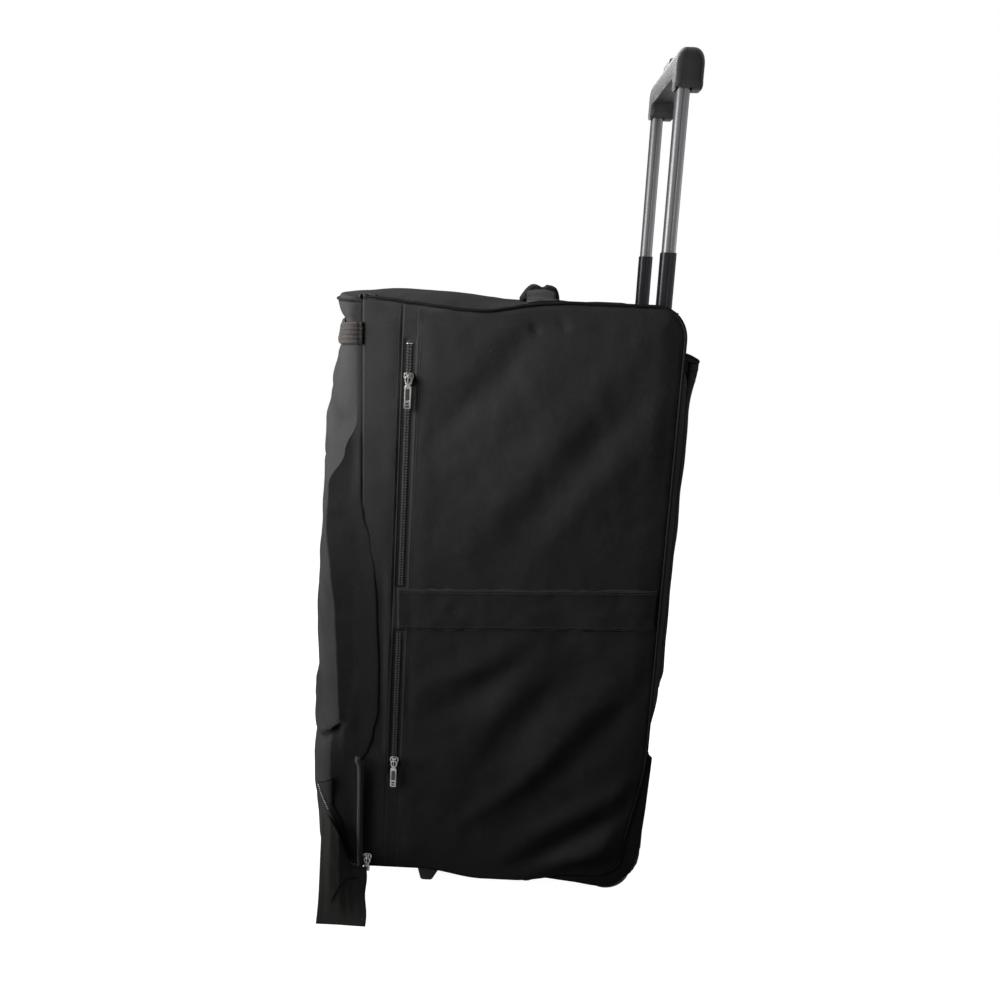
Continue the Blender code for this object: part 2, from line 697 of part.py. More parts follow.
def bezel():
    """Plastic cap on the outer tubes, let into the top corner of the bag."""
    outline = oblong(BEZEL_HALF, BEZEL_DEPTH / 2, 0.008, (0, POLE_Y))
    cap = prism("trolley_bezel", outline, "z", BEZEL_LOW_Z, BEZEL_TOP_Z, PLASTIC)
    roof = OUTER_TOP_Z + GAP
    floor = BEZEL_LOW_Z - WALL
    for side in (1, -1):
        middle = (side * POLE_X, POLE_Y)
        width, depth = outer_tube_size()
        socket = oblong(width / 2 + GAP, depth / 2 + GAP, TUBE_CORNER + GAP, middle)
        width, depth = middle_tube_size()
        mouth = oblong(width / 2 + SLIDE_GAP, depth / 2 + SLIDE_GAP, TUBE_CORNER + SLIDE_GAP, middle)
        cut(cap, prism(sided("tube_socket", side), socket, "z", floor, roof, PLASTIC),
            prism(sided("tube_mouth", side), mouth, "z", floor, BEZEL_TOP_Z + WALL, PLASTIC))
    inner = POLE_X - outer_tube_size()[0] / 2 - 0.004
    cut(cap, box("bezel_hollow", (-inner, POLE_Y - BEZEL_DEPTH / 2 + 0.003, floor),
                 (inner, POLE_Y + BEZEL_DEPTH / 2 - 0.003, roof)))


def bracket():
    """Cross piece that holds the feet of the outer tubes."""
    width, depth = outer_tube_size()
    front = POLE_Y - depth / 2 - 3 * GAP
    back = POLE_Y + depth / 2 + GAP
    low = OUTER_LOW_Z - 0.012
    rail = box("tube_bracket", (-BRACKET_HALF, front, low), (BRACKET_HALF, back, low + BRACKET_HEIGHT))
    for side in (1, -1):
        socket = oblong(width / 2 + GAP, depth / 2 + 4 * GAP, TUBE_CORNER + GAP,
                        (side * POLE_X, POLE_Y))
        cut(rail, prism(sided("bracket_socket", side), socket, "z", OUTER_LOW_Z - GAP,
                        low + BRACKET_HEIGHT + WALL, PLASTIC))


def grip_outline():
    """U shape across the two tubes, in X and Z."""
    outer = POLE_X + GRIP_ARM / 2
    inner = POLE_X - GRIP_ARM / 2
    top = GRIP_LOW_Z + GRIP_HEIGHT
    under = top - GRIP_BAR
    return rounded([(inner, GRIP_LOW_Z, 0.003), (outer, GRIP_LOW_Z, 0.003), (outer, top, 0.020),
                    (-outer, top, 0.020), (-outer, GRIP_LOW_Z, 0.003), (-inner, GRIP_LOW_Z, 0.003),
                    (-inner, under, 0.009), (inner, under, 0.009)])


def yoke_z():
    """Underside of the button's yoke at rest."""
    return GRIP_LOW_Z + GRIP_SOCKET + BUTTON_TRAVEL + 0.001


def grip_cavities(tag):
    """Hollow of the grip: tube sockets, the yoke's chamber and the button's slot."""
    top = GRIP_LOW_Z + GRIP_HEIGHT
    side_room = 0.0005
    tools = []
    for side in (1, -1):
        hole = oblong(INNER_TUBE[0] / 2 + GAP, INNER_TUBE[1] / 2 + GAP, TUBE_CORNER,
                      (side * POLE_X, POLE_Y))
        tools.append(prism(f"{tag}_{sided('socket', side)}", hole, "z", GRIP_LOW_Z - WALL,
                           GRIP_LOW_Z + GRIP_SOCKET + GAP, PLASTIC))
    reach = POLE_X + 0.006
    deep = BUTTON_DEPTH / 2 + side_room
    tools.append(box(f"{tag}_chamber", (-reach, POLE_Y - deep, GRIP_LOW_Z + GRIP_SOCKET - 0.0005),
                     (reach, POLE_Y + deep, yoke_z() + YOKE_THICK + 0.001)))
    long = BUTTON_LENGTH / 2 + side_room
    wide = deep + GAP
    tools.append(box(f"{tag}_slot", (-long, POLE_Y - wide, yoke_z() - BUTTON_TRAVEL - 0.0005),
                     (long, POLE_Y + wide, top + WALL)))
    return tools


def grip(handle):
    """Two half shells that meet on the tubes' middle plane."""
    for tag, way in (("grip_back_shell", 1), ("grip_front_shell", -1)):
        low = POLE_Y - GRIP_DEPTH / 2
        shell = prism(tag, grip_outline(), "y", low, low + GRIP_DEPTH, PLASTIC)
        soften(shell, 0.006, 3)
        near, far = sorted((POLE_Y + way * GAP / 2, POLE_Y + way * GRIP_DEPTH))
        reach = POLE_X + GRIP_ARM
        half = box(f"{tag}_half", (-reach, near, GRIP_LOW_Z - WALL), (reach, far, TOP_Z * 2))
        combine(shell, half, "INTERSECT")
        cut(shell, *grip_cavities(tag))
        carry(handle, smooth(shell))


def button():
    """Release button with its yoke, and the two rods that it pushes down the inner tubes."""
    low = yoke_z()
    reach = POLE_X + 0.004
    top = GRIP_LOW_Z + GRIP_HEIGHT + BUTTON_PROUD
    half = BUTTON_LENGTH / 2
    edge = 0.0015
    shape = [(reach, low), (reach, low + YOKE_THICK), (half, low + YOKE_THICK), (half, top - edge),
             (half - edge, top)]
    outline = shape + [(-x, z) for x, z in reversed(shape)]
    cap = prism("release_button", outline, "y", POLE_Y - BUTTON_DEPTH / 2,
                POLE_Y + BUTTON_DEPTH / 2, PLASTIC)
    press = axis_at("button_press", (0, POLE_Y, top))
    carry(press, cap)
    rod_low = MIDDLE_TOP_Z - INNER_OVERLAP + 0.010
    for side in (1, -1):
        rod = lathe(sided("push_rod", side), [(rod_low, ROD_R), (low - GAP, ROD_R)], "z",
                    (side * POLE_X, POLE_Y), STEEL, 10)
        carry(press, smooth(rod))


def sleeve():
    """Open-topped sleeve on the back, sewn at its sides and foot."""
    back = BACK_Y + 2 * GAP
    rise = SLEEVE_TOP_Z - SLEEVE_LOW_Z
    lip = [(SLEEVE_ROOM, 0.0), (SLEEVE_ROOM, 0.60), (SLEEVE_ROOM + 0.2 * (SLEEVE_FLARE - SLEEVE_ROOM), 0.84),
           (SLEEVE_FLARE, 1.0)]
    path = smooth_path([(back + out, SLEEVE_LOW_Z + rise * share) for out, share in lip], 3)
    outline = [tuple(point) for point in path] + [(back, SLEEVE_TOP_Z), (back, SLEEVE_LOW_Z)]
    piece = prism("back_sleeve", outline, "x", -SLEEVE_HALF, SLEEVE_HALF, FABRIC)
    inside = [(y - SLEEVE_THICK, z) for y, z in path]
    inside[0] = (inside[0][0], SLEEVE_LOW_Z + SLEEVE_THICK)
    inside[-1] = (inside[-1][0], SLEEVE_TOP_Z + WALL)
    hollow = inside + [(back - WALL, SLEEVE_TOP_Z + WALL), (back - WALL, SLEEVE_LOW_Z + SLEEVE_THICK)]
    tool = prism("sleeve_hollow", hollow, "x", SLEEVE_THICK - SLEEVE_HALF, SLEEVE_HALF - SLEEVE_THICK,
                 FABRIC)
    cut(piece, tool)


# Grab handle

def grab_handle():
    """Webbing loop on the top, with a wrap round the part that the hand holds."""
    rest = TOP_Z + GAP
    high = rest + HANDLE_RISE
    shoulder = WRAP_HALF + 0.006
    foot = HANDLE_HALF - 0.022
    path = [(HANDLE_HALF, rest), (foot, rest), (shoulder, high), (-shoulder, high), (-foot, rest),
            (-HANDLE_HALF, rest)]
    low_y, high_y = HANDLE_Y - HANDLE_WIDTH / 2, HANDLE_Y + HANDLE_WIDTH / 2
    prism("grab_handle_webbing", thickened(path[::-1], HANDLE_THICK), "y", low_y, high_y, WEBBING)
    middle = (HANDLE_Y, high + HANDLE_THICK / 2)
    outer = oblong(HANDLE_WIDTH / 2 + WRAP_WALL, HANDLE_THICK / 2 + WRAP_WALL, 0.004, middle)
    inner = oblong(HANDLE_WIDTH / 2 + GAP, HANDLE_THICK / 2 + GAP, 0.0008, middle)
    tube("grab_handle_wrap", outer, inner, "x", -WRAP_HALF, WRAP_HALF, FABRIC)


# Wheels, guards and feet

def guard_well_half():
    return WHEEL_WIDTH / 2 + 0.003


def guard_box_top():
    return WHEEL_R + WHEEL_R + WELL_GAP + 0.008


def wheel_guards():
    """Moulded corner: wheel box below, ribbed kick plate above."""
    plate_back = BACK_Y + GUARD_PROUD
    outside = INSIDE - GAP
    box_inner = WHEEL_X - guard_well_half() - 2 * GUARD_PLATE + GAP
    axle = (WHEEL_Y, WHEEL_R)
    for side in (1, -1):
        sole = 0.050
        profile = rounded([(plate_back, GUARD_TOP_Z, 0.0), (plate_back - GUARD_PLATE, GUARD_TOP_Z, 0.0),
                           (plate_back - GUARD_PLATE, guard_box_top() + 0.014, 0.006),
                           (WHEEL_Y - 0.020, guard_box_top(), 0.012),
                           (WHEEL_Y - GUARD_BOX_FRONT, guard_box_top() - 0.030, 0.012),
                           (WHEEL_Y - GUARD_BOX_FRONT, GUARD_FOOT_Z, 0.004),
                           (plate_back, GUARD_FOOT_Z, sole)], 5)
        low, high = span(side, box_inner, outside)
        guard = prism(sided("wheel_guard", side), profile, "x", low, high, PLASTIC)
        plate_low = GUARD_FOOT_Z + sole
        guard_front = WHEEL_Y - GUARD_BOX_FRONT
        bend = [math.radians(-90 + 90 * step / 6) for step in range(7)]
        boot = [(guard_front, BASE_Z - GAP), (guard_front, GUARD_FOOT_Z)]
        boot += [(plate_back - sole + sole * math.cos(a), plate_low + sole * math.sin(a)) for a in bend]
        boot.append((plate_back, GUARD_TOP_Z))
        low, high = span(side, GUARD_INNER_X, outside)
        plate = prism(sided("kick_plate", side), thickened(boot, GUARD_PLATE), "x", low, high, PLASTIC)
        combine(guard, plate, "UNION")
        for rank in range(4):
            middle = GUARD_INNER_X + 0.010 + rank * (outside - GUARD_INNER_X - 0.020) / 3
            low, high = span(side, middle - 0.002, middle + 0.002)
            rib = box(f"{sided('kick_rib', side)}_{rank}", (low, plate_back - 0.001, plate_low + 0.004),
                      (high, plate_back + GUARD_RIB, GUARD_TOP_Z - 0.008))
            combine(guard, rib, "UNION")
        low, high = span(side, WHEEL_X - guard_well_half(), WHEEL_X + guard_well_half())
        well = lathe(sided("wheel_well", side), [(low, WHEEL_R + WELL_GAP), (high, WHEEL_R + WELL_GAP)],
                     "x", axle, PLASTIC)
        reach = WHEEL_R + WELL_GAP
        mouth = box(sided("well_mouth", side), (low, WHEEL_Y - reach, -0.02),
                    (high, WHEEL_Y + reach, WHEEL_R))
        bore = lathe(sided("axle_bore", side), [(low - 0.03, AXLE_R + GAP), (high + 0.03, AXLE_R + GAP)],
                     "x", axle, PLASTIC)
        cut(guard, well, mouth, bore)


def hub_window(rank):
    """Opening between two spokes of a hub, in Y and Z round the axle."""
    low, high = BEARING_R + HUB_WALL, HUB_R - HUB_RIM
    middle = 2 * math.pi * rank / HUB_SPOKES
    outline = []
    for radius, way in ((low, 1), (high, -1)):
        spread = math.pi / HUB_SPOKES - HUB_SPOKE / 2 / radius
        turns = [middle + way * spread * (step / 2 - 1) for step in range(5)]
        outline += [(WHEEL_Y + radius * math.cos(t), WHEEL_R + radius * math.sin(t)) for t in turns]
    return outline


def tread_profile(half):
    """Outer profile of a tyre across its width, with a groove on each side of its middle."""
    shoulder = [(half, WHEEL_R - 0.007), (half * 0.78, WHEEL_R - 0.0025), (half * 0.42, WHEEL_R - 0.0004),
                (half * 0.30, WHEEL_R - 0.0004 - TREAD_GROOVE), (half * 0.18, WHEEL_R)]
    return [(-along, r) for along, r in shoulder] + shoulder[::-1]


def wheels():
    axle = (WHEEL_Y, WHEEL_R)
    half = WHEEL_WIDTH / 2
    box_inner = WHEEL_X - guard_well_half() - 2 * GUARD_PLATE + GAP
    for side in (1, -1):
        middle = side * WHEEL_X
        head = 0.002
        pin_low = side * (box_inner - GAP)
        pin_high = side * (INSIDE - 3 * GAP)
        stations = [(pin_low - side * head, AXLE_R * 1.6), (pin_low, AXLE_R * 1.6), (pin_low, AXLE_R),
                    (pin_high, AXLE_R)]
        smooth(lathe(sided("wheel_axle", side), stations, "x", axle, STEEL))
        hub_bore = BEARING_R + GAP
        seat = half - 0.001 - BEARING_WIDTH
        hub_half = half - 0.001
        hub = ring(sided("wheel_hub", side),
                   [(middle - hub_half, hub_bore), (middle - hub_half, HUB_R - 0.003),
                    (middle - hub_half + 0.003, HUB_R), (middle + hub_half - 0.003, HUB_R),
                    (middle + hub_half, HUB_R - 0.003), (middle + hub_half, hub_bore),
                    (middle + seat - GAP, hub_bore), (middle + seat - GAP, BEARING_R - 0.002),
                    (middle - seat + GAP, BEARING_R - 0.002), (middle - seat + GAP, hub_bore)],
                   "x", axle, PLASTIC)
        cut(hub, *[prism(f"{sided('hub_window', side)}_{rank}", hub_window(rank), "x", middle - half,
                         middle + half, PLASTIC) for rank in range(HUB_SPOKES)])
        tread = [(-half, HUB_R + 0.004)] + tread_profile(half) + [(half, HUB_R + 0.004)]
        inner = [(hub_half - 0.003, HUB_R + GAP), (0.003 - hub_half, HUB_R + GAP)]
        tyre = ring(sided("wheel_tyre", side), [(middle + along, r) for along, r in tread + inner],
                    "x", axle, TYRE, 2 * SEGMENTS)
        turning = [smooth(hub), smooth(tyre)]
        for name, low in (("outer_bearing", seat), ("inner_bearing", -seat - BEARING_WIDTH)):
            start = middle + side * low
            stop = start + side * BEARING_WIDTH
            bore = AXLE_R + RUN_GAP
            race = ring(sided(name, side), [(start, bore), (start, BEARING_R), (stop, BEARING_R),
                                            (stop, bore)], "x", axle, STEEL)
            turning.append(smooth(race))
        carry(axis_at(sided("wheel_spin", side), (middle, *axle)), *turning)


def feet():
    """Moulded feet at the front and round metal glides near the middle."""
    top = BASE_Z - GAP
    under_tape = BASE_Z - 2 * GAP - TAPE_THICK
    for side in (1, -1):
        half = FOOT_LENGTH / 2
        profile = rounded([(FOOT_Y - half, top, 0.0), (FOOT_Y - half + FOOT_TOE, 0.0, FOOT_ROUND),
                           (FOOT_Y + half - FOOT_HEEL, 0.0, FOOT_ROUND),
                           (FOOT_Y + half, top, 0.0)])
        low, high = span(side, FOOT_X - FOOT_WIDTH / 2, FOOT_X + FOOT_WIDTH / 2)
        prism(sided("front_foot", side), profile, "x", low, high, PLASTIC)
        stations = [(0.0, STUD_R - 0.005), (0.0015, STUD_R - 0.0015), (0.004, STUD_R),
                    (0.012, STUD_R), (0.014, STUD_R - 0.002), (0.014, STUD_R * 0.55),
                    (under_tape, STUD_R * 0.55), (top, STUD_R * 0.7)]
        smooth(lathe(sided("glide_stud", side), stations, "z", (side * STUD_X, STUD_Y), STEEL, 20))


def build():
    side_panels()
    top_panel()
    back_panel()
    base_panel()
    boards()
    hinge = axis_at("lid_hinge", (0, SEAM_Y, TOP_Z))
    carry(hinge, front_lid(), *lid_flaps(), front_strap())
    side_bands()
    piping()
    pocket_tapes()
    main_tape()
    zip_sliders()
    handle = trolley_tubes()
    bezel()
    bracket()
    grip(handle)
    button()
    sleeve()
    grab_handle()
    wheel_guards()
    wheels()
    feet()


build()
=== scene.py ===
import bpy, bmesh, json, math
from mathutils import Matrix, Vector, noise

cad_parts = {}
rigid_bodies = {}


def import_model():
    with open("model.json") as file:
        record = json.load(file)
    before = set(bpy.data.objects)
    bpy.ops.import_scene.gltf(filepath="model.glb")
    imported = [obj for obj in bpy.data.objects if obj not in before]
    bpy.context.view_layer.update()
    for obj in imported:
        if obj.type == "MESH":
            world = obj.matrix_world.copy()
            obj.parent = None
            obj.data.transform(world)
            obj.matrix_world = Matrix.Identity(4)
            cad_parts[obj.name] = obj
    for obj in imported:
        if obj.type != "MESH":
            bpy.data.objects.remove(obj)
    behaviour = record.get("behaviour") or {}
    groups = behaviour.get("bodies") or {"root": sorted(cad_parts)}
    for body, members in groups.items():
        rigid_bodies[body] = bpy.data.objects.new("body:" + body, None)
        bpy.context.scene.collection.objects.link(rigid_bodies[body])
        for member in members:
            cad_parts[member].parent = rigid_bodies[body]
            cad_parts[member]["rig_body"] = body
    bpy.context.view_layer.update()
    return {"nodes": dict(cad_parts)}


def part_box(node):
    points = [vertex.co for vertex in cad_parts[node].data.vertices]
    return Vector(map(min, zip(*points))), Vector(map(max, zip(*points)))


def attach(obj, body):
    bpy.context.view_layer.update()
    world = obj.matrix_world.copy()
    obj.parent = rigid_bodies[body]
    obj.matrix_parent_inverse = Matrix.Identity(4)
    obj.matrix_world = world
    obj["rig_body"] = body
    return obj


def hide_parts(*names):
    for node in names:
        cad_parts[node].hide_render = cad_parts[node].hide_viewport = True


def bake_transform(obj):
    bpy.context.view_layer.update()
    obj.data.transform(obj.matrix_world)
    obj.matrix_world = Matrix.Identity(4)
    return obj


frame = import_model()
print("stage: frame loaded")

panelLow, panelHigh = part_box("side_panel_right")
half = panelHigh.x  # outer face of a side panel
seamY = panelLow.y  # zip line between body and lid
backY = panelHigh.y
baseZ = panelLow.z
topZ = panelHigh.z


# numbers and curves

def clamp(value, low=0.0, high=1.0):
    return max(low, min(high, value))


def ease(low, high, value):
    share = clamp((value - low) / (high - low))
    return share * share * (3 - 2 * share)


def mix(a, b, share):
    return a + (b - a) * share


def through(table, value):
    # smooth reading of a short (key, value) table, keys rising
    if value <= table[0][0]:
        return table[0][1]
    for (lowKey, low), (highKey, high) in zip(table, table[1:]):
        if value <= highKey:
            return mix(low, high, ease(lowKey, highKey, value))
    return table[-1][1]


def grain(x, y, z, scale, seed=0.0):
    return noise.noise(Vector((x * scale + seed, y * scale - seed, z * scale + seed * 0.5)))


def sideName(sign):
    return "right" if sign > 0 else "left"


def onAxis(axis, along, a, b):
    # point at along on the axis, with a and b on the other two
    return Vector({"x": (along, a, b), "y": (a, along, b), "z": (a, b, along)}[axis])


def spaced(points, count):
    # the same line with count points at equal steps
    points = [Vector(p) for p in points]
    marks = [0.0]
    for a, b in zip(points, points[1:]):
        marks.append(marks[-1] + (b - a).length)
    found = []
    spot = 0
    for step in range(count):
        goal = marks[-1] * step / (count - 1)
        while spot < len(points) - 2 and marks[spot + 1] < goal:
            spot += 1
        run = marks[spot + 1] - marks[spot]
        found.append(points[spot].lerp(points[spot + 1], (goal - marks[spot]) / run if run else 0.0))
    return found


def rounded(points, steps=8, closed=False):
    # Catmull-Rom line through the points
    points = [Vector(p) for p in points]
    count = len(points)
    line = []
    for index in range(count if closed else count - 1):
        if closed:
            a, b, c, d = [points[(index + k) % count] for k in (-1, 0, 1, 2)]
        else:
            b, c = points[index], points[index + 1]
            a = points[index - 1] if index else b * 2 - c
            d = points[index + 2] if index + 2 < count else c * 2 - b
        for step in range(steps):
            t = step / steps
            line.append(0.5 * (2 * b + (c - a) * t + (2 * a - 5 * b + 4 * c - d) * t * t
                               + (3 * b - a - 3 * c + d) * t ** 3))
    if not closed:
        line.append(points[-1])
    return line


def bezier(a, b, c, d, steps):
    return [a * (1 - t) ** 3 + b * 3 * t * (1 - t) ** 2 + c * 3 * t * t * (1 - t) + d * t ** 3
            for t in (step / steps for step in range(steps + 1))]


def cornered(corners, steps=6):
    # closed outline through (a, b, radius) corners
    outline = []
    count = len(corners)
    for index, (a, b, radius) in enumerate(corners):
        here = Vector((a, b))
        before = (Vector(corners[index - 1][:2]) - here).normalized()
        after = (Vector(corners[(index + 1) % count][:2]) - here).normalized()
        halfAngle = before.angle(after) / 2
        centre = here + (before + after).normalized() * (radius / math.sin(halfAngle))
        start = here + before * (radius / math.tan(halfAngle)) - centre
        stop = here + after * (radius / math.tan(halfAngle)) - centre
        way = 1 if start.cross(stop) > 0 else -1
        for step in range(steps + 1):
            turn = way * (math.pi - 2 * halfAngle) * step / steps
            outline.append(centre + Matrix.Rotation(turn, 2) @ start)
    return outline


def block(a, b, c, d, radius, steps):
    # closed outline of a rectangle with rounded corners, from (a, b) to (c, d)
    return cornered([(a, b, radius), (c, b, radius), (c, d, radius), (a, d, radius)], steps)


# meshes

def linked(name, mesh, *paints):
    piece = bpy.data.objects.new(name, mesh)
    bpy.context.scene.collection.objects.link(piece)
    for paint in paints:
        mesh.materials.append(paint)
    return piece


def skin(name, rows, *paints, wrap=False, flip=False, skip=None):
    # grid of rows of points, with a UV map that counts metres along and across
    count = len(rows[0])
    points = [p for row in rows for p in row]
    across = [[0.0] for row in rows]
    for row, marks in zip(rows, across):
        for a, b in zip(row, row[1:] + row[:1]):
            marks.append(marks[-1] + (Vector(b) - Vector(a)).length)
    middle = count // 2
    along = [0.0]
    for a, b in zip(rows, rows[1:]):
        along.append(along[-1] + (Vector(b[middle]) - Vector(a[middle])).length)
    faces = []
    places = []
    for r in range(len(rows) - 1):
        for c in range(count if wrap else count - 1):
            if skip and skip(r, c):
                continue
            n = (c + 1) % count
            face = [r * count + c, r * count + n, (r + 1) * count + n, (r + 1) * count + c]
            place = [(across[r][c], along[r]), (across[r][c + 1], along[r]),
                     (across[r + 1][c + 1], along[r + 1]), (across[r + 1][c], along[r + 1])]
            if flip:
                face.reverse()
                place.reverse()
            faces.append(face)
            places += place
    mesh = bpy.data.meshes.new(name)
    mesh.from_pydata([tuple(p) for p in points], [], faces)
    sheet = mesh.uv_layers.new(name="cloth")
    sheet.data.foreach_set("uv", [x for place in places for x in place])
    mesh.shade_smooth()
    return linked(name, mesh, *paints)


def smoothed(piece, angle):
    # smooth shading, with the edges above the angle kept sharp
    piece.data.shade_smooth()
    piece.data.set_sharp_from_angle(angle=math.radians(angle))
    return piece


def capped(piece):
    # closes the open ends
    made = bmesh.new()
    made.from_mesh(piece.data)
    bmesh.ops.holes_fill(made, edges=[e for e in made.edges if e.is_boundary])
    bmesh.ops.recalc_face_normals(made, faces=made.faces)
    made.to_mesh(piece.data)
    made.free()
    return piece


def rub(piece, marks):
    # how far the cloth is turned lighter and greyer at each point
    piece.data.attributes.new("wear", "FLOAT", "POINT").data.foreach_set("value", marks)


def tidyFacing(piece, way):
    # turns all faces if the sheet looks away from way
    total = sum((f.normal * f.area for f in piece.data.polygons), Vector())
    if total.dot(way) < 0:
        piece.data.flip_normals()
    return piece


def finished(piece, kind, settings, angle=None):
    # applies a modifier and keeps the result
    step = piece.modifiers.new("step", kind)
    for key, value in settings.items():
        setattr(step, key, value)
    bpy.context.view_layer.update()
    shape = bpy.data.meshes.new_from_object(piece.evaluated_get(bpy.context.evaluated_depsgraph_get()))
    piece.modifiers.clear()
    old = piece.data
    piece.data = shape
    shape.name = piece.name
    if old.users == 0:
        bpy.data.meshes.remove(old)
    return piece if angle is None else smoothed(piece, angle)


def thickened(piece, thick, lined=False):
    # gives a sheet its thickness inward, with its second paint inside if it's lined
    return finished(piece, "SOLIDIFY", {"thickness": thick, "offset": -1.0, "use_rim": True,
                                        "material_offset": int(lined)})


def joined(first, *others):
    made = bmesh.new()
    made.from_mesh(first.data)
    for other in others:
        base = len(first.data.materials)
        for paint in other.data.materials:
            first.data.materials.append(paint)
        extra = other.data.copy()
        for face in extra.polygons:
            face.material_index += base
        made.from_mesh(extra)
        bpy.data.meshes.remove(extra)
        bpy.data.objects.remove(other)
    made.to_mesh(first.data)
    made.free()
    return first


def tidied(piece, weld=1e-6):
    made = bmesh.new()
    made.from_mesh(piece.data)
    bmesh.ops.remove_doubles(made, verts=made.verts, dist=weld)
    bmesh.ops.recalc_face_normals(made, faces=made.faces)
    made.to_mesh(piece.data)
    made.free()
    return piece


def rod(name, line, radius, *paints, sides=10, scale=(1.0, 1.0), up=Vector((1, 0, 0))):
    # round or oval bar along a line, closed at both ends
    line = [Vector(p) for p in line]
    shape = [(math.cos(2 * math.pi * k / sides) * scale[0], math.sin(2 * math.pi * k / sides) * scale[1])
             for k in range(sides)]
    rows = []
    for index, here in enumerate(line):
        before = line[index - 1] if index else here
        after = line[index + 1] if index + 1 < len(line) else here
        way = (after - before).normalized()
        side = way.cross(up)
        side = side.normalized() if side.length > 1e-6 else Vector((0, 1, 0))
        lift = side.cross(way).normalized()
        size = radius(index / (len(line) - 1)) if callable(radius) else radius
        rows.append([here + (side * a + lift * b) * size for a, b in shape])
    ends = [[line[0] + (p - line[0]) * k for p in rows[0]] for k in (0.05, 0.7)]
    tails = [[line[-1] + (p - line[-1]) * k for p in rows[-1]] for k in (0.7, 0.05)]
    return capped(skin(name, ends + rows + tails, *paints, wrap=True))


def turned(name, profile, axis, centre, *paints, sides=64, angle=35):
    # solid or ring of revolution from a closed (along, radius) profile
    rows = []
    for step in range(sides):
        turn = 2 * math.pi * step / sides
        rows.append([Vector(centre) + onAxis(axis, along, radius * math.cos(turn), radius * math.sin(turn))
                     for along, radius in profile])
    rows.append([p.copy() for p in rows[0]])
    return smoothed(tidied(skin(name, rows, *paints, wrap=True)), angle)


def plate(name, outlines, thick, bevel, place, *paints, angle=35):
    # flat plate with holes: the first outline is its edge, place puts X, Y, thickness in the frame
    curve = bpy.data.curves.new(name, "CURVE")
    curve.dimensions = "2D"
    curve.fill_mode = "BOTH"
    curve.extrude = thick / 2 - bevel
    curve.bevel_depth = bevel
    curve.bevel_resolution = 2
    curve.offset = -bevel
    for outline in outlines:
        spline = curve.splines.new("POLY")
        spline.points.add(len(outline) - 1)
        for point, (a, b) in zip(spline.points, outline):
            point.co = (a, b, 0, 1)
        spline.use_cyclic_u = True
    holder = bpy.data.objects.new(name + "_curve", curve)
    bpy.context.scene.collection.objects.link(holder)
    bpy.context.view_layer.update()
    mesh = bpy.data.meshes.new_from_object(holder.evaluated_get(bpy.context.evaluated_depsgraph_get()))
    bpy.data.objects.remove(holder)
    bpy.data.curves.remove(curve)
    mesh.materials.clear()
    mesh.transform(place)
    mesh.name = name
    return smoothed(tidied(linked(name, mesh, *paints), 1e-5), angle)


def pillow(name, outline, low, high, edge, *paints, steps=4, angle=40):
    # upright prism whose end faces have rounded edges
    count = len(outline)
    area = sum(outline[k - 1].cross(outline[k]) for k in range(count))
    sign = 1 if area > 0 else -1
    inward = []
    for k in range(count):
        way = (outline[(k + 1) % count] - outline[k - 1]).normalized()
        inward.append(Vector((-way.y, way.x)) * sign)
    turns = [math.pi / 2 * s / steps for s in range(steps, -1, -1)]
    stations = [(low + edge * (1 - math.sin(turn)), edge * (1 - math.cos(turn))) for turn in turns]
    stations += [(high - (z - low), inset) for z, inset in reversed(stations)]
    rows = [[onAxis("z", z, *(point + way * inset)) for point, way in zip(outline, inward)]
            for z, inset in stations]
    return smoothed(capped(skin(name, rows, *paints, wrap=True)), angle)


def refined(node, paint, width, segments=2, angle=32):
    # the CAD part with its edges softened
    mesh = frame["nodes"][node].data.copy()
    mesh.materials.clear()
    piece = linked(node + "_finish", mesh, paint)
    made = bmesh.new()
    made.from_mesh(mesh)
    bmesh.ops.remove_doubles(made, verts=made.verts, dist=1e-6)
    bmesh.ops.dissolve_limit(made, angle_limit=math.radians(2), verts=made.verts, edges=made.edges)
    made.to_mesh(mesh)
    made.free()
    for face in mesh.polygons:
        face.material_index = 0
    finished(piece, "BEVEL", {"width": width, "segments": segments, "limit_method": "ANGLE",
                              "angle_limit": math.radians(angle), "harden_normals": False}, angle=40)
    return rideAs(piece, node)


def rideAs(piece, *nodes):
    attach(piece, frame["nodes"][nodes[0]]["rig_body"])
    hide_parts(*nodes)
    return piece


def boxMesh(low, high):
    made = bmesh.new()
    bmesh.ops.create_cube(made, size=1.0)
    mesh = bpy.data.meshes.new("cutter")
    made.to_mesh(mesh)
    made.free()
    low, high = Vector(low), Vector(high)
    mesh.transform(Matrix.Translation((low + high) / 2) @ Matrix.Diagonal((*(high - low), 1.0)))
    return linked("cutter", mesh)


def cutFrom(piece, *cutters):
    for cutter in cutters:
        finished(piece, "BOOLEAN", {"operation": "DIFFERENCE", "object": cutter, "solver": "EXACT"})
        bpy.data.objects.remove(cutter)
    return piece


# shader nodes

def put(tree, kind, *links, **settings):
    made = tree.nodes.new(kind)
    for key, value in settings.items():
        setattr(made, key, value)
    for socket, value in zip(made.inputs, links):
        if value is None:
            continue
        if isinstance(value, bpy.types.NodeSocket):
            tree.links.new(value, socket)
        else:
            socket.default_value = value
    return made


def feed(tree, node, values):
    # links or sets the node's sockets by name
    for label, value in values.items():
        socket = node.inputs[label]
        if isinstance(value, bpy.types.NodeSocket):
            tree.links.new(value, socket)
        else:
            socket.default_value = value
    return node


def calc(tree, operation, *values):
    return put(tree, "ShaderNodeMath", *values, operation=operation).outputs[0]


def ramp(tree, value, low, high, toLow=0.0, toHigh=1.0):
    return put(tree, "ShaderNodeMapRange", value, low, high, toLow, toHigh).outputs[0]


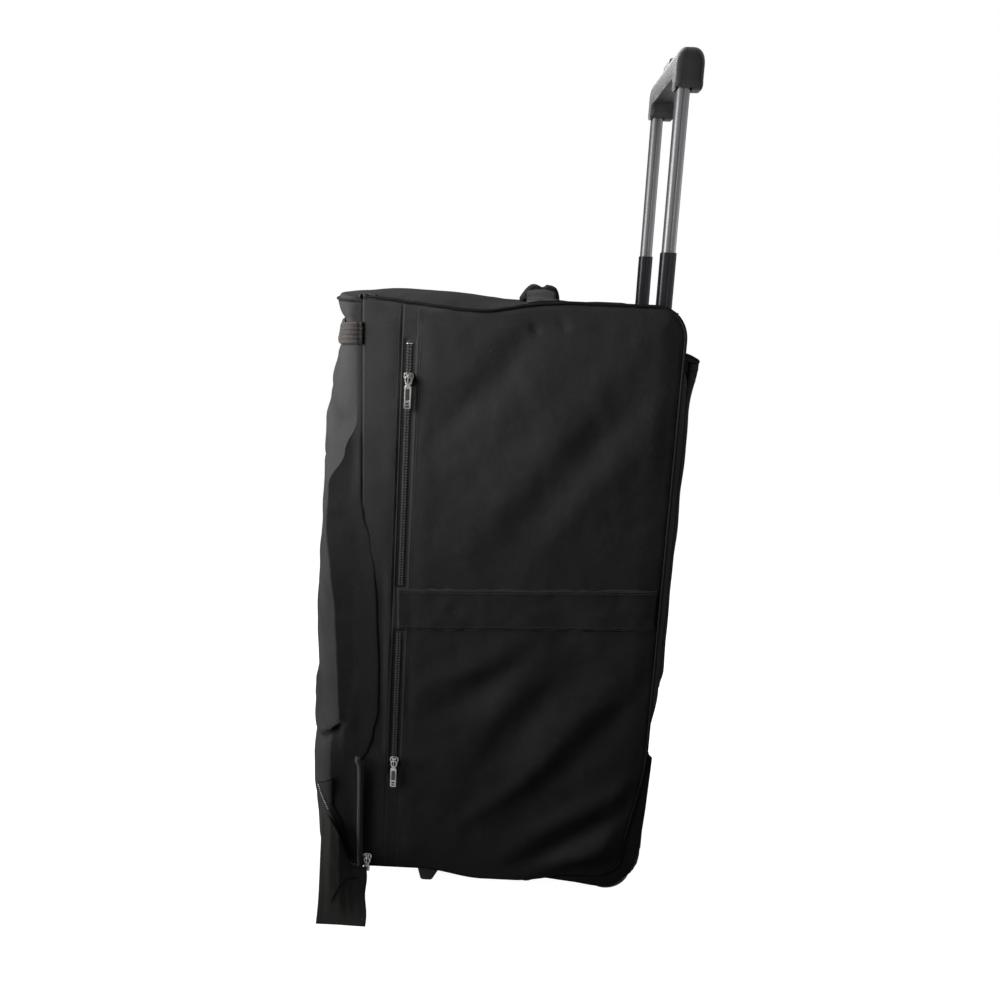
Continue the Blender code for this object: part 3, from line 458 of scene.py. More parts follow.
def group(name, inputs, *outputs):
    # inputs and their first values, a vector where that's a tuple; all outputs are plain values
    tree = bpy.data.node_groups.new(name, "ShaderNodeTree")
    for label, value in inputs.items():
        kind = "NodeSocketVector" if isinstance(value, tuple) else "NodeSocketFloat"
        tree.interface.new_socket(label, in_out="INPUT", socket_type=kind).default_value = value
    for label in outputs:
        tree.interface.new_socket(label, in_out="OUTPUT", socket_type="NodeSocketFloat")
    return tree, tree.nodes.new("NodeGroupInput").outputs, tree.nodes.new("NodeGroupOutput")


def use(tree, groupTree, **values):
    made = tree.nodes.new("ShaderNodeGroup")
    made.node_tree = groupTree
    return feed(tree, made, values)


def cloudy(tree, vector, scale, detail=2.0):
    return feed(tree, put(tree, "ShaderNodeTexNoise", vector), {"Scale": scale, "Detail": detail}).outputs[0]


def stretched(tree, vector, scale):
    return put(tree, "ShaderNodeMapping", vector, None, None, scale).outputs[0]


def bumped(tree, height, strength, distance, **more):
    made = put(tree, "ShaderNodeBump")
    return feed(tree, made, {"Height": height, "Strength": strength, "Distance": distance, **more}).outputs[0]


origin = (0.0, 0.0, 0.0)


def weaveGroup():
    # plain weave of two yarns: height, and how far down between the yarns
    tree, given, result = group("PlainWeave", {"Vector": origin, "Pitch": 0.0007}, "Height", "Gap")
    split = put(tree, "ShaderNodeSeparateXYZ", given["Vector"])
    u, v = [calc(tree, "DIVIDE", split.outputs[axis], given["Pitch"]) for axis in range(2)]
    warp, weft = [calc(tree, "ABSOLUTE", calc(tree, "SINE", calc(tree, "MULTIPLY", way, math.pi)))
                  for way in (u, v)]
    cell = calc(tree, "ADD", calc(tree, "FLOOR", u), calc(tree, "FLOOR", v))
    over = calc(tree, "ABSOLUTE", calc(tree, "MODULO", cell, 2.0))
    low = calc(tree, "MULTIPLY", warp, calc(tree, "MULTIPLY_ADD", weft, 0.45, 0.55))
    high = calc(tree, "MULTIPLY", weft, calc(tree, "MULTIPLY_ADD", warp, 0.45, 0.55))
    height = calc(tree, "MULTIPLY_ADD", calc(tree, "SUBTRACT", high, low), over, low)
    feed(tree, result, {"Height": height, "Gap": ramp(tree, height, 0.0, 0.35, 1.0, 0.0)})
    return tree


def toneGroup():
    # slow drift of tone, fine mottling, a few specks of lint, and soft wrinkles
    tree, given, result = group("ClothTone", {"Vector": origin}, "Tone", "Lint", "Wrinkles")
    place = given["Vector"]
    drift = ramp(tree, cloudy(tree, place, 9.0, 3.0), 0.3, 0.7, 0.86, 1.12)
    mottle = ramp(tree, cloudy(tree, place, 420.0, 2.0), 0.3, 0.7, -0.06, 0.06)
    specks = feed(tree, put(tree, "ShaderNodeTexVoronoi", place), {"Scale": 70.0})
    near = ramp(tree, specks.outputs["Distance"], 0.03, 0.05, 1.0, 0.0)
    chance = put(tree, "ShaderNodeTexWhiteNoise", specks.outputs["Position"]).outputs[0]
    rare = calc(tree, "GREATER_THAN", chance, 0.93)
    feed(tree, result, {"Tone": calc(tree, "ADD", drift, mottle), "Lint": calc(tree, "MULTIPLY", near, rare),
                        "Wrinkles": cloudy(tree, place, 60.0, 4.0)})
    return tree


def webGroup():
    # height of webbing or tape: cords run along V, picks cross them along U
    tree, given, result = group("RibbedWeb", {"Vector": origin, "Pitch": 0.002}, "Height")
    split = put(tree, "ShaderNodeSeparateXYZ", given["Vector"])
    lean = calc(tree, "MULTIPLY_ADD", split.outputs[0], 0.8, split.outputs[1])
    counted = [calc(tree, "DIVIDE", way, given["Pitch"]) for way in (split.outputs[0], lean)]
    cords, picks = [calc(tree, "ABSOLUTE", calc(tree, "SINE", calc(tree, "MULTIPLY", way, turns)))
                    for way, turns in zip(counted, (math.pi, math.pi / 0.55))]
    feed(tree, result, {"Height": calc(tree, "MULTIPLY_ADD", picks, 0.35, cords)})
    return tree


def edgeGroup():
    # mask of the outer edges, where handling rubs
    tree, given, result = group("EdgeWear", {"Low": 0.52, "High": 0.6}, "Edge")
    sharp = put(tree, "ShaderNodeNewGeometry").outputs["Pointiness"]
    feed(tree, result, {"Edge": ramp(tree, sharp, given["Low"], given["High"])})
    return tree


def mouldGroup():
    # spark-eroded pits, slow cloudiness and long scuffs of moulded plastic
    tree, given, result = group("MouldedGrain", {"Vector": origin, "Texture": 1400.0},
                                "Pits", "Cloud", "Scuffs")
    place = given["Vector"]
    pits = feed(tree, put(tree, "ShaderNodeTexVoronoi", place), {"Scale": given["Texture"]})
    scuffs = cloudy(tree, stretched(tree, place, (1.0, 1.0, 9.0)), 90.0)
    feed(tree, result, {"Pits": pits.outputs["Distance"], "Cloud": cloudy(tree, place, 30.0, 5.0),
                        "Scuffs": ramp(tree, scuffs, 0.62, 0.72)})
    return tree


def drawnGroup():
    # lines that drawing or brushing leaves in metal, and its patchy grime
    tree, given, result = group("DrawnMetal", {"Vector": origin, "Stretch": (180.0, 180.0, 180.0)},
                                "Lines", "Grime")
    place = given["Vector"]
    lines = cloudy(tree, stretched(tree, place, given["Stretch"]), 1.0, 4.0)
    feed(tree, result, {"Lines": lines, "Grime": ramp(tree, cloudy(tree, place, 45.0), 0.45, 0.7)})
    return tree


weave = weaveGroup()
tone = toneGroup()
web = webGroup()
edges = edgeGroup()
moulded = mouldGroup()
drawn = drawnGroup()


def material(name):
    made = bpy.data.materials.new(name)
    made.use_nodes = True
    return made, made.node_tree, made.node_tree.nodes["Principled BSDF"]


def tinted(tree, colour, factor):
    # colour times a value
    mixer = put(tree, "ShaderNodeMix", 1.0, data_type="RGBA", blend_type="MULTIPLY")
    mixer.inputs[6].default_value = (*colour, 1.0)
    whole = put(tree, "ShaderNodeCombineColor", factor, factor, factor)
    tree.links.new(whole.outputs[0], mixer.inputs[7])
    return mixer.outputs[2]


def blended(tree, a, b, factor):
    # each of a and b is a colour or a socket
    mixer = put(tree, "ShaderNodeMix", factor, data_type="RGBA")
    for socket, value in ((mixer.inputs[6], a), (mixer.inputs[7], b)):
        if isinstance(value, bpy.types.NodeSocket):
            tree.links.new(value, socket)
        else:
            socket.default_value = (*value, 1.0)
    return mixer.outputs[2]


def cloth(name, colour, pitch=0.0007, rough=0.72, sheen=0.1, depth=0.00012, lint=0.2, specular=0.0):
    # woven cloth: yarns with painted shade between them, soft wrinkles, rubbed places and lint
    made, tree, shader = material(name)
    space = put(tree, "ShaderNodeTexCoord").outputs["Object"]
    flat = put(tree, "ShaderNodeUVMap", uv_map="cloth").outputs[0]
    yarn = use(tree, weave, Vector=flat, Pitch=pitch)
    drift = use(tree, tone, Vector=space)
    # darker where the yarns part: painted shade in the gaps of the weave
    hollow = ramp(tree, yarn.outputs["Gap"], 0.0, 1.0, 1.0, 0.55)
    base = tinted(tree, colour, calc(tree, "MULTIPLY", drift.outputs["Tone"], hollow))
    wear = put(tree, "ShaderNodeAttribute", attribute_name="wear").outputs["Fac"]
    rubbed = blended(tree, base, (0.11, 0.11, 0.11), calc(tree, "MULTIPLY", wear, 0.5))
    dust = calc(tree, "MULTIPLY", drift.outputs["Lint"], lint)
    wrinkles = bumped(tree, drift.outputs["Wrinkles"], 1.0, 0.0006)
    feed(tree, shader, {
        "Base Color": blended(tree, rubbed, (0.35, 0.35, 0.34), dust),
        "Roughness": ramp(tree, drift.outputs["Tone"], 0.8, 1.2, rough + 0.05, rough - 0.05),
        "Sheen Weight": sheen, "Sheen Roughness": 0.45, "Specular IOR Level": specular,
        "Normal": bumped(tree, yarn.outputs["Height"], 0.9, depth, Normal=wrinkles)})
    return made


def plastic(name, colour, rough=0.42, texture=1400.0, depth=0.00005, worn=0.3, specular=0.3):
    # moulded plastic with spark-eroded grain and rubbed edges
    made, tree, shader = material(name)
    space = put(tree, "ShaderNodeTexCoord").outputs["Object"]
    mould = use(tree, moulded, Vector=space, Texture=texture)
    cloud = mould.outputs["Cloud"]
    edge = use(tree, edges, Low=0.52, High=0.6).outputs["Edge"]
    rubbed = calc(tree, "MULTIPLY", calc(tree, "MULTIPLY_ADD", mould.outputs["Scuffs"], 0.4, edge), worn)
    base = tinted(tree, colour, ramp(tree, cloud, 0.3, 0.7, 0.85, 1.15))
    feed(tree, shader, {
        "Base Color": blended(tree, base, (0.16, 0.16, 0.16), rubbed),
        "Roughness": ramp(tree, cloud, 0.3, 0.7, rough - 0.06, rough + 0.08),
        "Specular IOR Level": specular, "Normal": bumped(tree, mould.outputs["Pits"], 0.8, depth)})
    return made


def metal(name, colour, rough=0.25, brushed=False, worn=(0.5, 0.49, 0.47), dark=0.0, tint=0.5):
    # plain or brushed metal with worn edges and grime
    made, tree, shader = material(name)
    space = put(tree, "ShaderNodeTexCoord").outputs["Object"]
    stretch = (260.0, 260.0, 4.0) if brushed else (180.0, 180.0, 180.0)
    drawing = use(tree, drawn, Vector=space, Stretch=stretch)
    lines = drawing.outputs["Lines"]
    edge = use(tree, edges, Low=0.52, High=0.62).outputs["Edge"]
    base = tinted(tree, colour, ramp(tree, lines, 0.3, 0.7, 0.86, 1.1))
    dirt = calc(tree, "MULTIPLY", drawing.outputs["Grime"], dark)
    grime = blended(tree, base, (0.02, 0.02, 0.02), dirt)
    feed(tree, shader, {
        "Base Color": blended(tree, grime, worn, calc(tree, "MULTIPLY", edge, 0.5)),
        "Metallic": 1.0, "Specular Tint": (tint, tint, tint, 1.0),
        "Roughness": ramp(tree, lines, 0.3, 0.7, rough - 0.05, rough + 0.1),
        "Normal": bumped(tree, lines, 0.35, 0.00003)})
    return made


def ribbed(name, colour, pitch, rough=0.8, light=0.5):
    # webbing or tape, with painted shade between its cords
    made, tree, shader = material(name)
    flat = put(tree, "ShaderNodeUVMap", uv_map="cloth").outputs[0]
    height = use(tree, web, Vector=flat, Pitch=pitch).outputs["Height"]
    drift = use(tree, tone, Vector=put(tree, "ShaderNodeTexCoord").outputs["Object"])
    # darker where the cords dip: painted shade between the cords, as dark as light sets
    shade = calc(tree, "MULTIPLY", drift.outputs["Tone"], ramp(tree, height, 0.0, 1.2, light, 1.15))
    feed(tree, shader, {"Base Color": tinted(tree, colour, shade), "Roughness": rough,
                        "Specular IOR Level": 0.0, "Sheen Weight": 0.1,
                        "Normal": bumped(tree, height, 1.0, 0.0003)})
    return made


bodyCloth = cloth("body_cloth", (0.037, 0.038, 0.04), sheen=0.0)
liningCloth = cloth("lining_cloth", (0.055, 0.056, 0.06), pitch=0.0004, depth=0.00005, rough=0.6, sheen=0.1)
edgeCord = cloth("edge_cord", (0.021, 0.021, 0.022), pitch=0.0009, rough=0.6, sheen=0.0, lint=0.1)
handleCloth = cloth("handle_cloth", (0.022, 0.023, 0.024), pitch=0.0008, rough=0.62, sheen=0.03)
threadPaint = cloth("thread_paint", (0.046, 0.046, 0.049), pitch=0.0003, lint=0.0, sheen=0.1, specular=0.1)
greyWeb = ribbed("grey_webbing", (0.043, 0.04, 0.039), 0.0021, light=0.4)
tapePaint = ribbed("tape_paint", (0.034, 0.034, 0.037), 0.0009, light=0.7)
toothPaint = plastic("tooth_paint", (0.02, 0.02, 0.021), rough=0.45, texture=900.0, worn=0.1, specular=0.05)
# bright metal for the upper third of the slack zip's teeth: painted glints, while the rest of those teeth are
# dark plastic
glintTooth = metal("bright_tooth", (0.3, 0.29, 0.28), rough=0.3, tint=0.3)
pullCore = metal("pull_core", (0.022, 0.022, 0.024), rough=0.4, dark=0.3, tint=0.2)
nickel = metal("nickel", (0.28, 0.28, 0.27), rough=0.26, dark=0.7, tint=0.3)
tubeMetal = metal("tube_metal", (0.066, 0.066, 0.071), rough=0.48, brushed=True, worn=(0.35, 0.35, 0.36),
                  tint=0.15)
darkTube = metal("dark_tube_metal", (0.012, 0.0125, 0.015), rough=0.42, brushed=True,
                 worn=(0.06, 0.06, 0.065), tint=0.15)
gripPlastic = plastic("grip_plastic_paint", (0.03, 0.031, 0.034), rough=0.45, specular=0.12)
buttonPlastic = plastic("button_plastic_paint", (0.035, 0.036, 0.038), rough=0.36, specular=0.25)
trimPlastic = plastic("trim_plastic_paint", (0.017, 0.017, 0.018), rough=0.48, specular=0.1)
boardPlastic = plastic("board_plastic", (0.03, 0.03, 0.03), rough=0.6, specular=0.2)
hubPlastic = plastic("hub_plastic_paint", (0.04, 0.04, 0.043), rough=0.4, specular=0.25)
tyreRubber = plastic("tyre_rubber", (0.022, 0.022, 0.022), rough=0.66, texture=600.0, depth=0.0001, worn=0.6,
                     specular=0.15)
rodSteel = metal("rod_steel_paint", (0.5, 0.5, 0.5), rough=0.3)
print("stage: materials")


# geometry nodes: copies of one stamp along a line

def stampTree():
    tree = bpy.data.node_groups.new("StampAlong", "GeometryNodeTree")
    tree.interface.new_socket("Geometry", in_out="INPUT", socket_type="NodeSocketGeometry")
    sockets = {}
    for label, kind, value in (("Stamp", "NodeSocketObject", None), ("Step", "NodeSocketFloat", 0.003),
                               ("Paint", "NodeSocketMaterial", None), ("Wobble", "NodeSocketFloat", 0.0),
                               ("Seed", "NodeSocketInt", 7)):
        socket = tree.interface.new_socket(label, in_out="INPUT", socket_type=kind)
        if value is not None:
            socket.default_value = value
        sockets[label] = socket.identifier
    tree.interface.new_socket("Geometry", in_out="OUTPUT", socket_type="NodeSocketGeometry")
    given = tree.nodes.new("NodeGroupInput").outputs
    result = tree.nodes.new("NodeGroupOutput")
    line = put(tree, "GeometryNodeMeshToCurve", given["Geometry"]).outputs[0]
    even = feed(tree, put(tree, "GeometryNodeResampleCurve", mode="LENGTH"),
                {"Curve": line, "Length": given["Step"]})
    up = feed(tree, put(tree, "GeometryNodeInputNamedAttribute", data_type="FLOAT_VECTOR"), {"Name": "up"})
    first = feed(tree, put(tree, "FunctionNodeAlignRotationToVector", axis="Z"), {"Vector": up.outputs[0]})
    tangent = tree.nodes.new("GeometryNodeInputTangent")
    second = feed(tree, put(tree, "FunctionNodeAlignRotationToVector", axis="X", pivot_axis="Z"),
                  {"Rotation": first.outputs[0], "Vector": tangent.outputs[0]})
    shake = feed(tree, put(tree, "FunctionNodeRandomValue", data_type="FLOAT_VECTOR"),
                 {"Min": calc(tree, "MULTIPLY", given["Wobble"], -1.0), "Max": given["Wobble"],
                  "Seed": given["Seed"]})
    turn = put(tree, "FunctionNodeRotateRotation", second.outputs[0], shake.outputs[0],
               rotation_space="LOCAL")
    source = feed(tree, put(tree, "GeometryNodeObjectInfo"), {"Object": given["Stamp"]})
    spread = feed(tree, tree.nodes.new("GeometryNodeInstanceOnPoints"),
                  {"Points": even.outputs[0], "Instance": source.outputs["Geometry"],
                   "Rotation": turn.outputs[0]})
    solid = put(tree, "GeometryNodeRealizeInstances", spread.outputs[0])
    painted = feed(tree, tree.nodes.new("GeometryNodeSetMaterial"),
                   {"Geometry": solid.outputs[0], "Material": given["Paint"]})
    tree.links.new(painted.outputs[0], result.inputs[0])
    return tree, sockets


stampNodes, stampSockets = stampTree()


def bead(name, long, wide, tall, *paints, steps=6):
    # small rounded bar along X, lying in the XY plane
    rows = []
    for step in range(steps + 1):
        turn = math.pi * step / steps
        size = math.sin(turn) ** 0.6 if 0 < step < steps else 0.02
        x = -math.cos(turn) * long / 2
        rows.append([Vector((x, math.cos(a) * wide / 2 * size, math.sin(a) * tall / 2 * size))
                     for a in (2 * math.pi * k / 8 for k in range(8))])
    return tidied(skin(name, rows, *paints, wrap=True))


def stamped(name, lines, stamp, step, paint, body, wobble=0.0):
    # lines of (point, up) pairs, each carrying copies of the stamp; the piece rides the body
    mesh = bpy.data.meshes.new(name + "_line")
    points = [p for line in lines for p, up in line]
    ups = [c for line in lines for p, up in line for c in up]
    edges = []
    count = 0
    for line in lines:
        edges += [(count + k, count + k + 1) for k in range(len(line) - 1)]
        count += len(line)
    mesh.from_pydata([tuple(p) for p in points], edges, [])
    mesh.attributes.new("up", "FLOAT_VECTOR", "POINT").data.foreach_set("vector", ups)
    piece = linked(name, mesh)
    work = piece.modifiers.new("stamps", "NODES")
    work.node_group = stampNodes
    for label, value in (("Stamp", stamp), ("Step", step), ("Paint", paint), ("Wobble", wobble), ("Seed", 7)):
        work[stampSockets[label]] = value
    bpy.context.view_layer.update()
    made = bpy.data.meshes.new_from_object(piece.evaluated_get(bpy.context.evaluated_depsgraph_get()))
    piece.modifiers.clear()
    piece.data = made
    bpy.data.meshes.remove(mesh)
    made.shade_smooth()
    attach(piece, body)
    return piece


def stitched(name, lines, body, step=0.0036, wobble=0.05):
    return stamped(name, lines, stitchStamp, step, threadPaint, body, wobble)


stitchStamp = bead("stitch_stamp", 0.003, 0.0006, 0.0005)
toothStamp = bead("tooth_stamp", 0.0012, 0.003, 0.0012)
print("stage: geometry nodes")


# side of the bag: how far the cloth stands out, by place

pocket = {"top": (-0.11, 0.762), "low": (-0.124, 0.19), "seam": 0.0098, "edge": 0.0076, "sink": 0.0006,
    "groove": 0.0006}
bedLift = 0.0022  # side cloth beside the zips
side = {"crown": 0.0024, "rim": 0.032, "topRound": 0.037, "heelTop": 0.195, "heelIn": 0.022, "cornerIn": 0.05,
    "cornerUp": 0.032, "tuck": 0.0003, "thick": 0.003, "lap": 0.0008, "rest": 0.0003, "roll": 0.0012,
    "ripple": 0.001, "farRipple": 0.004, "pucker": 0.0016, "crinkle": 0.0006, "sag": 0.012}
folds = [(((0.043, 0.778), (-0.014, 0.714), (-0.084, 0.636)), 0.018, -0.0034),
         (((0.157, 0.742), (0.073, 0.643), (-0.024, 0.52)), 0.026, 0.0036),
         (((0.169, 0.719), (0.093, 0.614), (0.007, 0.494)), 0.02, -0.0032),
         (((0.2, 0.69), (0.125, 0.61), (0.035, 0.505)), 0.024, 0.0032),
         (((0.05, 0.388), (-0.097, 0.303)), 0.014, 0.0022),
         (((0.063, 0.368), (-0.064, 0.276)), 0.014, -0.0022),
         (((0.07, 0.368), (-0.023, 0.234)), 0.017, 0.0024),
         (((0.11, 0.352), (-0.014, 0.189)), 0.016, -0.0026),
         (((0.181, 0.35), (0.021, 0.153)), 0.02, 0.0034),
         (((0.206, 0.326), (0.061, 0.155)), 0.016, -0.0028),
         (((0.097, 0.228), (-0.034, 0.106)), 0.012, 0.0022),
         (((0.209, 0.192), (0.11, 0.126), (0.03, 0.072)), 0.014, 0.0034),
         (((0.206, 0.15), (0.11, 0.087), (0.02, 0.042)), 0.012, -0.003),
         (((0.218, 0.122), (0.11, 0.054), (0.06, 0.028)), 0.016, 0.0056),
         (((0.03, 0.786), (0.042, 0.771)), 0.004, -0.0016),
         (((0.063, 0.794), (0.074, 0.772)), 0.005, -0.0014)]


def zipLine(z):
    (topPlace, top), (lowPlace, low) = pocket["top"], pocket["low"]
    return lowPlace + (topPlace - lowPlace) * (z - low) / (top - low)


def baseSag(y):
    # the bottom hangs lower between the feet and the wheels
    return side["sag"] * ease(-0.085, 0.0, y) * ease(0.13, 0.045, y)


def backEdge(z):
    # rear outline of a side panel
    r = side["topRound"]
    if z > topZ - r:
        return backY - r + math.sqrt(max(0.0, r * r - (z - topZ + r) ** 2))
    edge = mix(backY - side["heelIn"], backY, ease(baseZ + 0.02, baseZ + side["heelTop"], z))
    dip = clamp((baseZ + side["cornerUp"] - z) / side["cornerUp"])
    return edge - side["cornerIn"] * (1 - math.sqrt(max(0.0, 1 - dip * dip)))


farEdge = [(-0.2, 0.003), (-0.155, 0.004), (-0.12, 0.0035), (-0.09, 0.002), (-0.06, 0.0005), (-0.03, -0.001),
    (0.01, -0.005), (0.05, -0.003), (0.08, -0.002), (0.105, -0.004), (0.143, -0.002), (0.22, -0.002)]


nearEdge = [(-0.2, 0.003), (-0.158, 0.0027), (-0.134, 0.0009), (-0.111, -0.0016), (-0.076, -0.0047), (-0.05,
    -0.0072), (-0.03, -0.0078), (-0.016, -0.007), (0.005, -0.0035), (0.022, 0.0), (0.045, 0.003), (0.075,
    0.0052), (0.22, 0.0052)]


def topSag(y, sign=1):
    # the near top edge dips ahead of the handle and rises over the trolley; the far one does so less
    return through(nearEdge if sign > 0 else farEdge, y)


def foldLift(y, z, plan):
    # soft ridges and valleys along broken lines
    total = 0.0
    for line, width, height in plan:
        best = None
        run = 0.0
        for (ay, az), (by, bz) in zip(line, line[1:]):
            long = math.hypot(by - ay, bz - az)
            along = ((y - ay) * (by - ay) + (z - az) * (bz - az)) / long
            held = clamp(along, 0.0, long)
            off = math.hypot(y - ay - (by - ay) * held / long, z - az - (bz - az) * held / long)
            if best is None or off < best[0]:
                best = (off, run + held)
            run += long
        off, along = best
        width *= 1.3
        if off < width * 3:
            ends = mix(0.35, 1.0, ease(0.0, run * 0.35, along) * ease(0.0, run * 0.35, run - along))
            total += 1.05 * height * ends * math.exp(-(off / width) ** 2)
    return total


def sideLift(y, z, pockets=True):
    # how far the cloth stands out at this place
    rim = min(backEdge(z) - y, topZ - z, (z - baseZ) * 0.8)
    ahead = y - seamY
    soft = ease(0.0, side["rim"], rim) * ease(-0.004, 0.045, ahead)
    lift = side["crown"] * soft - side["roll"] * (1 - ease(0.0, 0.006, rim))
    lift += side["rest"] + 0.0004 * ease(0.0, 0.01, ahead)
    if pockets:
        off = y - zipLine(z)
        lift = mix(lift, min(lift, bedLift), math.exp(-(off / 0.02) ** 4))
        lift += foldLift(y, z, folds) * ease(0.0, 0.03, rim) * ease(0.006, 0.034, off)
        lift += side["ripple"] * soft * grain(y * 1.6 + z, z * 0.55 - y, 0.0, 9.0, 3.0)
        lift += side["pucker"] * ease(0.0, 0.02, -pocket["seam"] - off) * soft * grain(0.0, z, 0.0, 7.0, 8.0)
    else:
        lift += side["farRipple"] * soft * grain(y * 1.2 - z, z * 0.5 + y, 0.0, 8.0, 11.0)
    lift += side["crinkle"] * soft * grain(y, z, 0.0, 45.0, 5.0)
    if pockets:
        near = ease(0.014, 0.0086, abs(off)) * ease(0.012, 0.03, topZ - z) * ease(0.1, 0.16, z)
        lift = mix(lift, bedLift, near)
        low = ease(0.5, 0.44, z) * ease(0.19, 0.23, z) * ease(seamY + 0.034, seamY + 0.024, y)
        lift = min(lift, mix(lift, side["tuck"], low))
    return lift


def sideGroove(y, z):
    # seam ahead of the pocket zips, and the bed of their tapes
    t = y - zipLine(z)
    spans = ease(0.3, 0.44, z) * ease(0.803, 0.795, z)
    groove = -pocket["groove"] * math.exp(-((t + pocket["seam"]) / 0.0007) ** 2) * spans
    inside = ease(pocket["edge"] + 0.0005, pocket["edge"] - 0.0005, abs(t))
    beds = max(ease(0.18, 0.183, z) * ease(0.396, 0.392, z), ease(0.448, 0.452, z) * ease(0.765, 0.762, z))
    return groove - pocket["sink"] * inside * beds


def sidePlace(sign, y, z, out=0.0):
    # a point on the outside of a side, out metres above its cloth
    lift = sideLift(y, z, sign > 0) + (sideGroove(y, z) if sign > 0 and out == 0.0 else 0.0)
    high = z + topSag(y, sign) * ease(0.7, topZ, z) - baseSag(y) * ease(0.12, baseZ, z)
    return Vector((sign * (half + lift + out), y, high))


def sideColumns(z, pockets):
    # places across the cloth, close together at the seams
    back = backEdge(z)
    front = seamY - side["lap"]
    knots = [(front, 110), (back, 0)]
    if pockets:
        line, seam, edge, fine = zipLine(z), pocket["seam"], pocket["edge"], 0.0006
        knots = [(front, 16), (line - seam - 2 * fine, 1), (line - seam - fine, 1), (line - seam, 1),
                 (line - seam + fine, 1), (line - edge - fine, 1), (line - edge, 1), (line - edge + fine, 1),
                 (line, 1), (line + edge - fine, 1), (line + edge, 1), (line + edge + fine, 2),
                 (line + edge + 0.006, 98), (back, 0)]
    found = []
    for (a, count), (b, rest) in zip(knots, knots[1:]):
        found += [a + (b - a) * k / count for k in range(count)]
    return found + [back]


def sideCloth(sign):
    label = sideName(sign)
    levels = [baseZ + 0.0006 + (topZ - baseZ - 0.0012) * k / 300 for k in range(301)]
    spots = [[(y, z) for y in sideColumns(z, sign > 0)] for z in levels]
    rows = [[sidePlace(sign, y, z) for y, z in row] for row in spots]
    piece = skin(f"side_cloth_{label}", rows, bodyCloth, liningCloth, flip=sign < 0)
    marks = []
    for y, z in (spot for row in spots for spot in row):
        rim = min(backEdge(z) - y, topZ - z, z - baseZ)
        mark = 0.5 * ease(0.012, 0.0, rim) * clamp(0.5 + grain(y, z, 0, 30.0))
        if sign > 0:
            mark += 0.35 * ease(0.0014, 0.0, abs(abs(y - zipLine(z)) - pocket["edge"] - 0.001))
        marks.append(mark)
    rub(piece, marks)
    return rideAs(thickened(piece, side["thick"], lined=True), f"side_panel_{label}")


sideCloth(1)
sideCloth(-1)
print("stage: sides")


# top and lid

lidShape = {"edge": [(0.034, -0.225), (0.081, -0.2262), (0.12, -0.2285), (0.14, -0.2318), (0.166, -0.232),
    (0.235, -0.229), (0.25, -0.2292), (0.262, -0.2265), (0.286, -0.2242), (0.372, -0.225), (0.468, -0.2209),
    (0.535, -0.2163), (0.586, -0.2132), (0.645, -0.21), (0.679, -0.204), (0.698, -0.201), (0.734, -0.1945),
    (0.751, -0.1915), (0.766, -0.188), (0.78, -0.186), (0.791, -0.1925), (0.802, -0.195), (0.811, -0.1919)],
    "creases": [(0.034, 0.03), (0.08, 0.04), (0.136, 0.044), (0.225, 0.043), (0.248, 0.042), (0.256, 0.03),
    (0.29, 0.0325), (0.36, 0.034), (0.417, 0.036), (0.47, 0.041), (0.524, 0.0455), (0.582, 0.042), (0.623,
    0.0215), (0.662, 0.007), (0.7, 0.006), (0.812, 0.008)], "crisp": [(0.09, 0.0), (0.14, 0.35), (0.243,
    0.45), (0.256, 1.0), (0.64, 1.0), (0.69, 0.15), (0.812, 0.0)], "over": [(0.196, 0.0), (0.208, 0.005),
    (0.214, 0.0075), (0.239, 0.014), (0.276, 0.021), (0.335, 0.0215), (0.42, 0.0186), (0.474, 0.0155), (0.506,
    0.0105), (0.545, 0.004), (0.575, 0.0)], "lip": [(0.0004, 0.0009, 0.0006), (0.0007, 0.0012, 0.0014),
    (0.0012, 0.0015, 0.0036)], "thick": 0.0024, "crownX": 0.082, "lap": 0.0008, "wallCells": 30,
    "frontCells": 44}
view = {"place": (1.19, 0.0139, 0.837), "lens": 30.6, "yaw": 0.0103, "pitch": 0.2565, "roll": 0.0422}


def lidFront(corner, first, crown, cells=60):
    # front of the lid from its corner to the crown
    return bezier(corner, first, Vector((lidShape["crownX"], crown)), Vector((0.0, crown)), cells)


def fittedFront(corner, crisp, target):
    # front that bulges until its outline, seen from the camera's place, meets the target
    slope = (view["place"][1] - target) / (view["place"][0] - half)
    start = mix(0.0, -0.032, crisp)
    low, high = 0.004, 0.11
    for step in range(14):
        rest = (low + high) / 2
        first = Vector((corner.x + start, corner.y - min(rest * 0.75, mix(0.034, 0.03, crisp))))
        line = lidFront(corner, first, corner.y - rest, 20)
        if max(target - p.y - slope * (half - p.x) for p in line) > 0:
            high = rest
        else:
            low = rest
    return lidFront(corner, first, corner.y - rest)


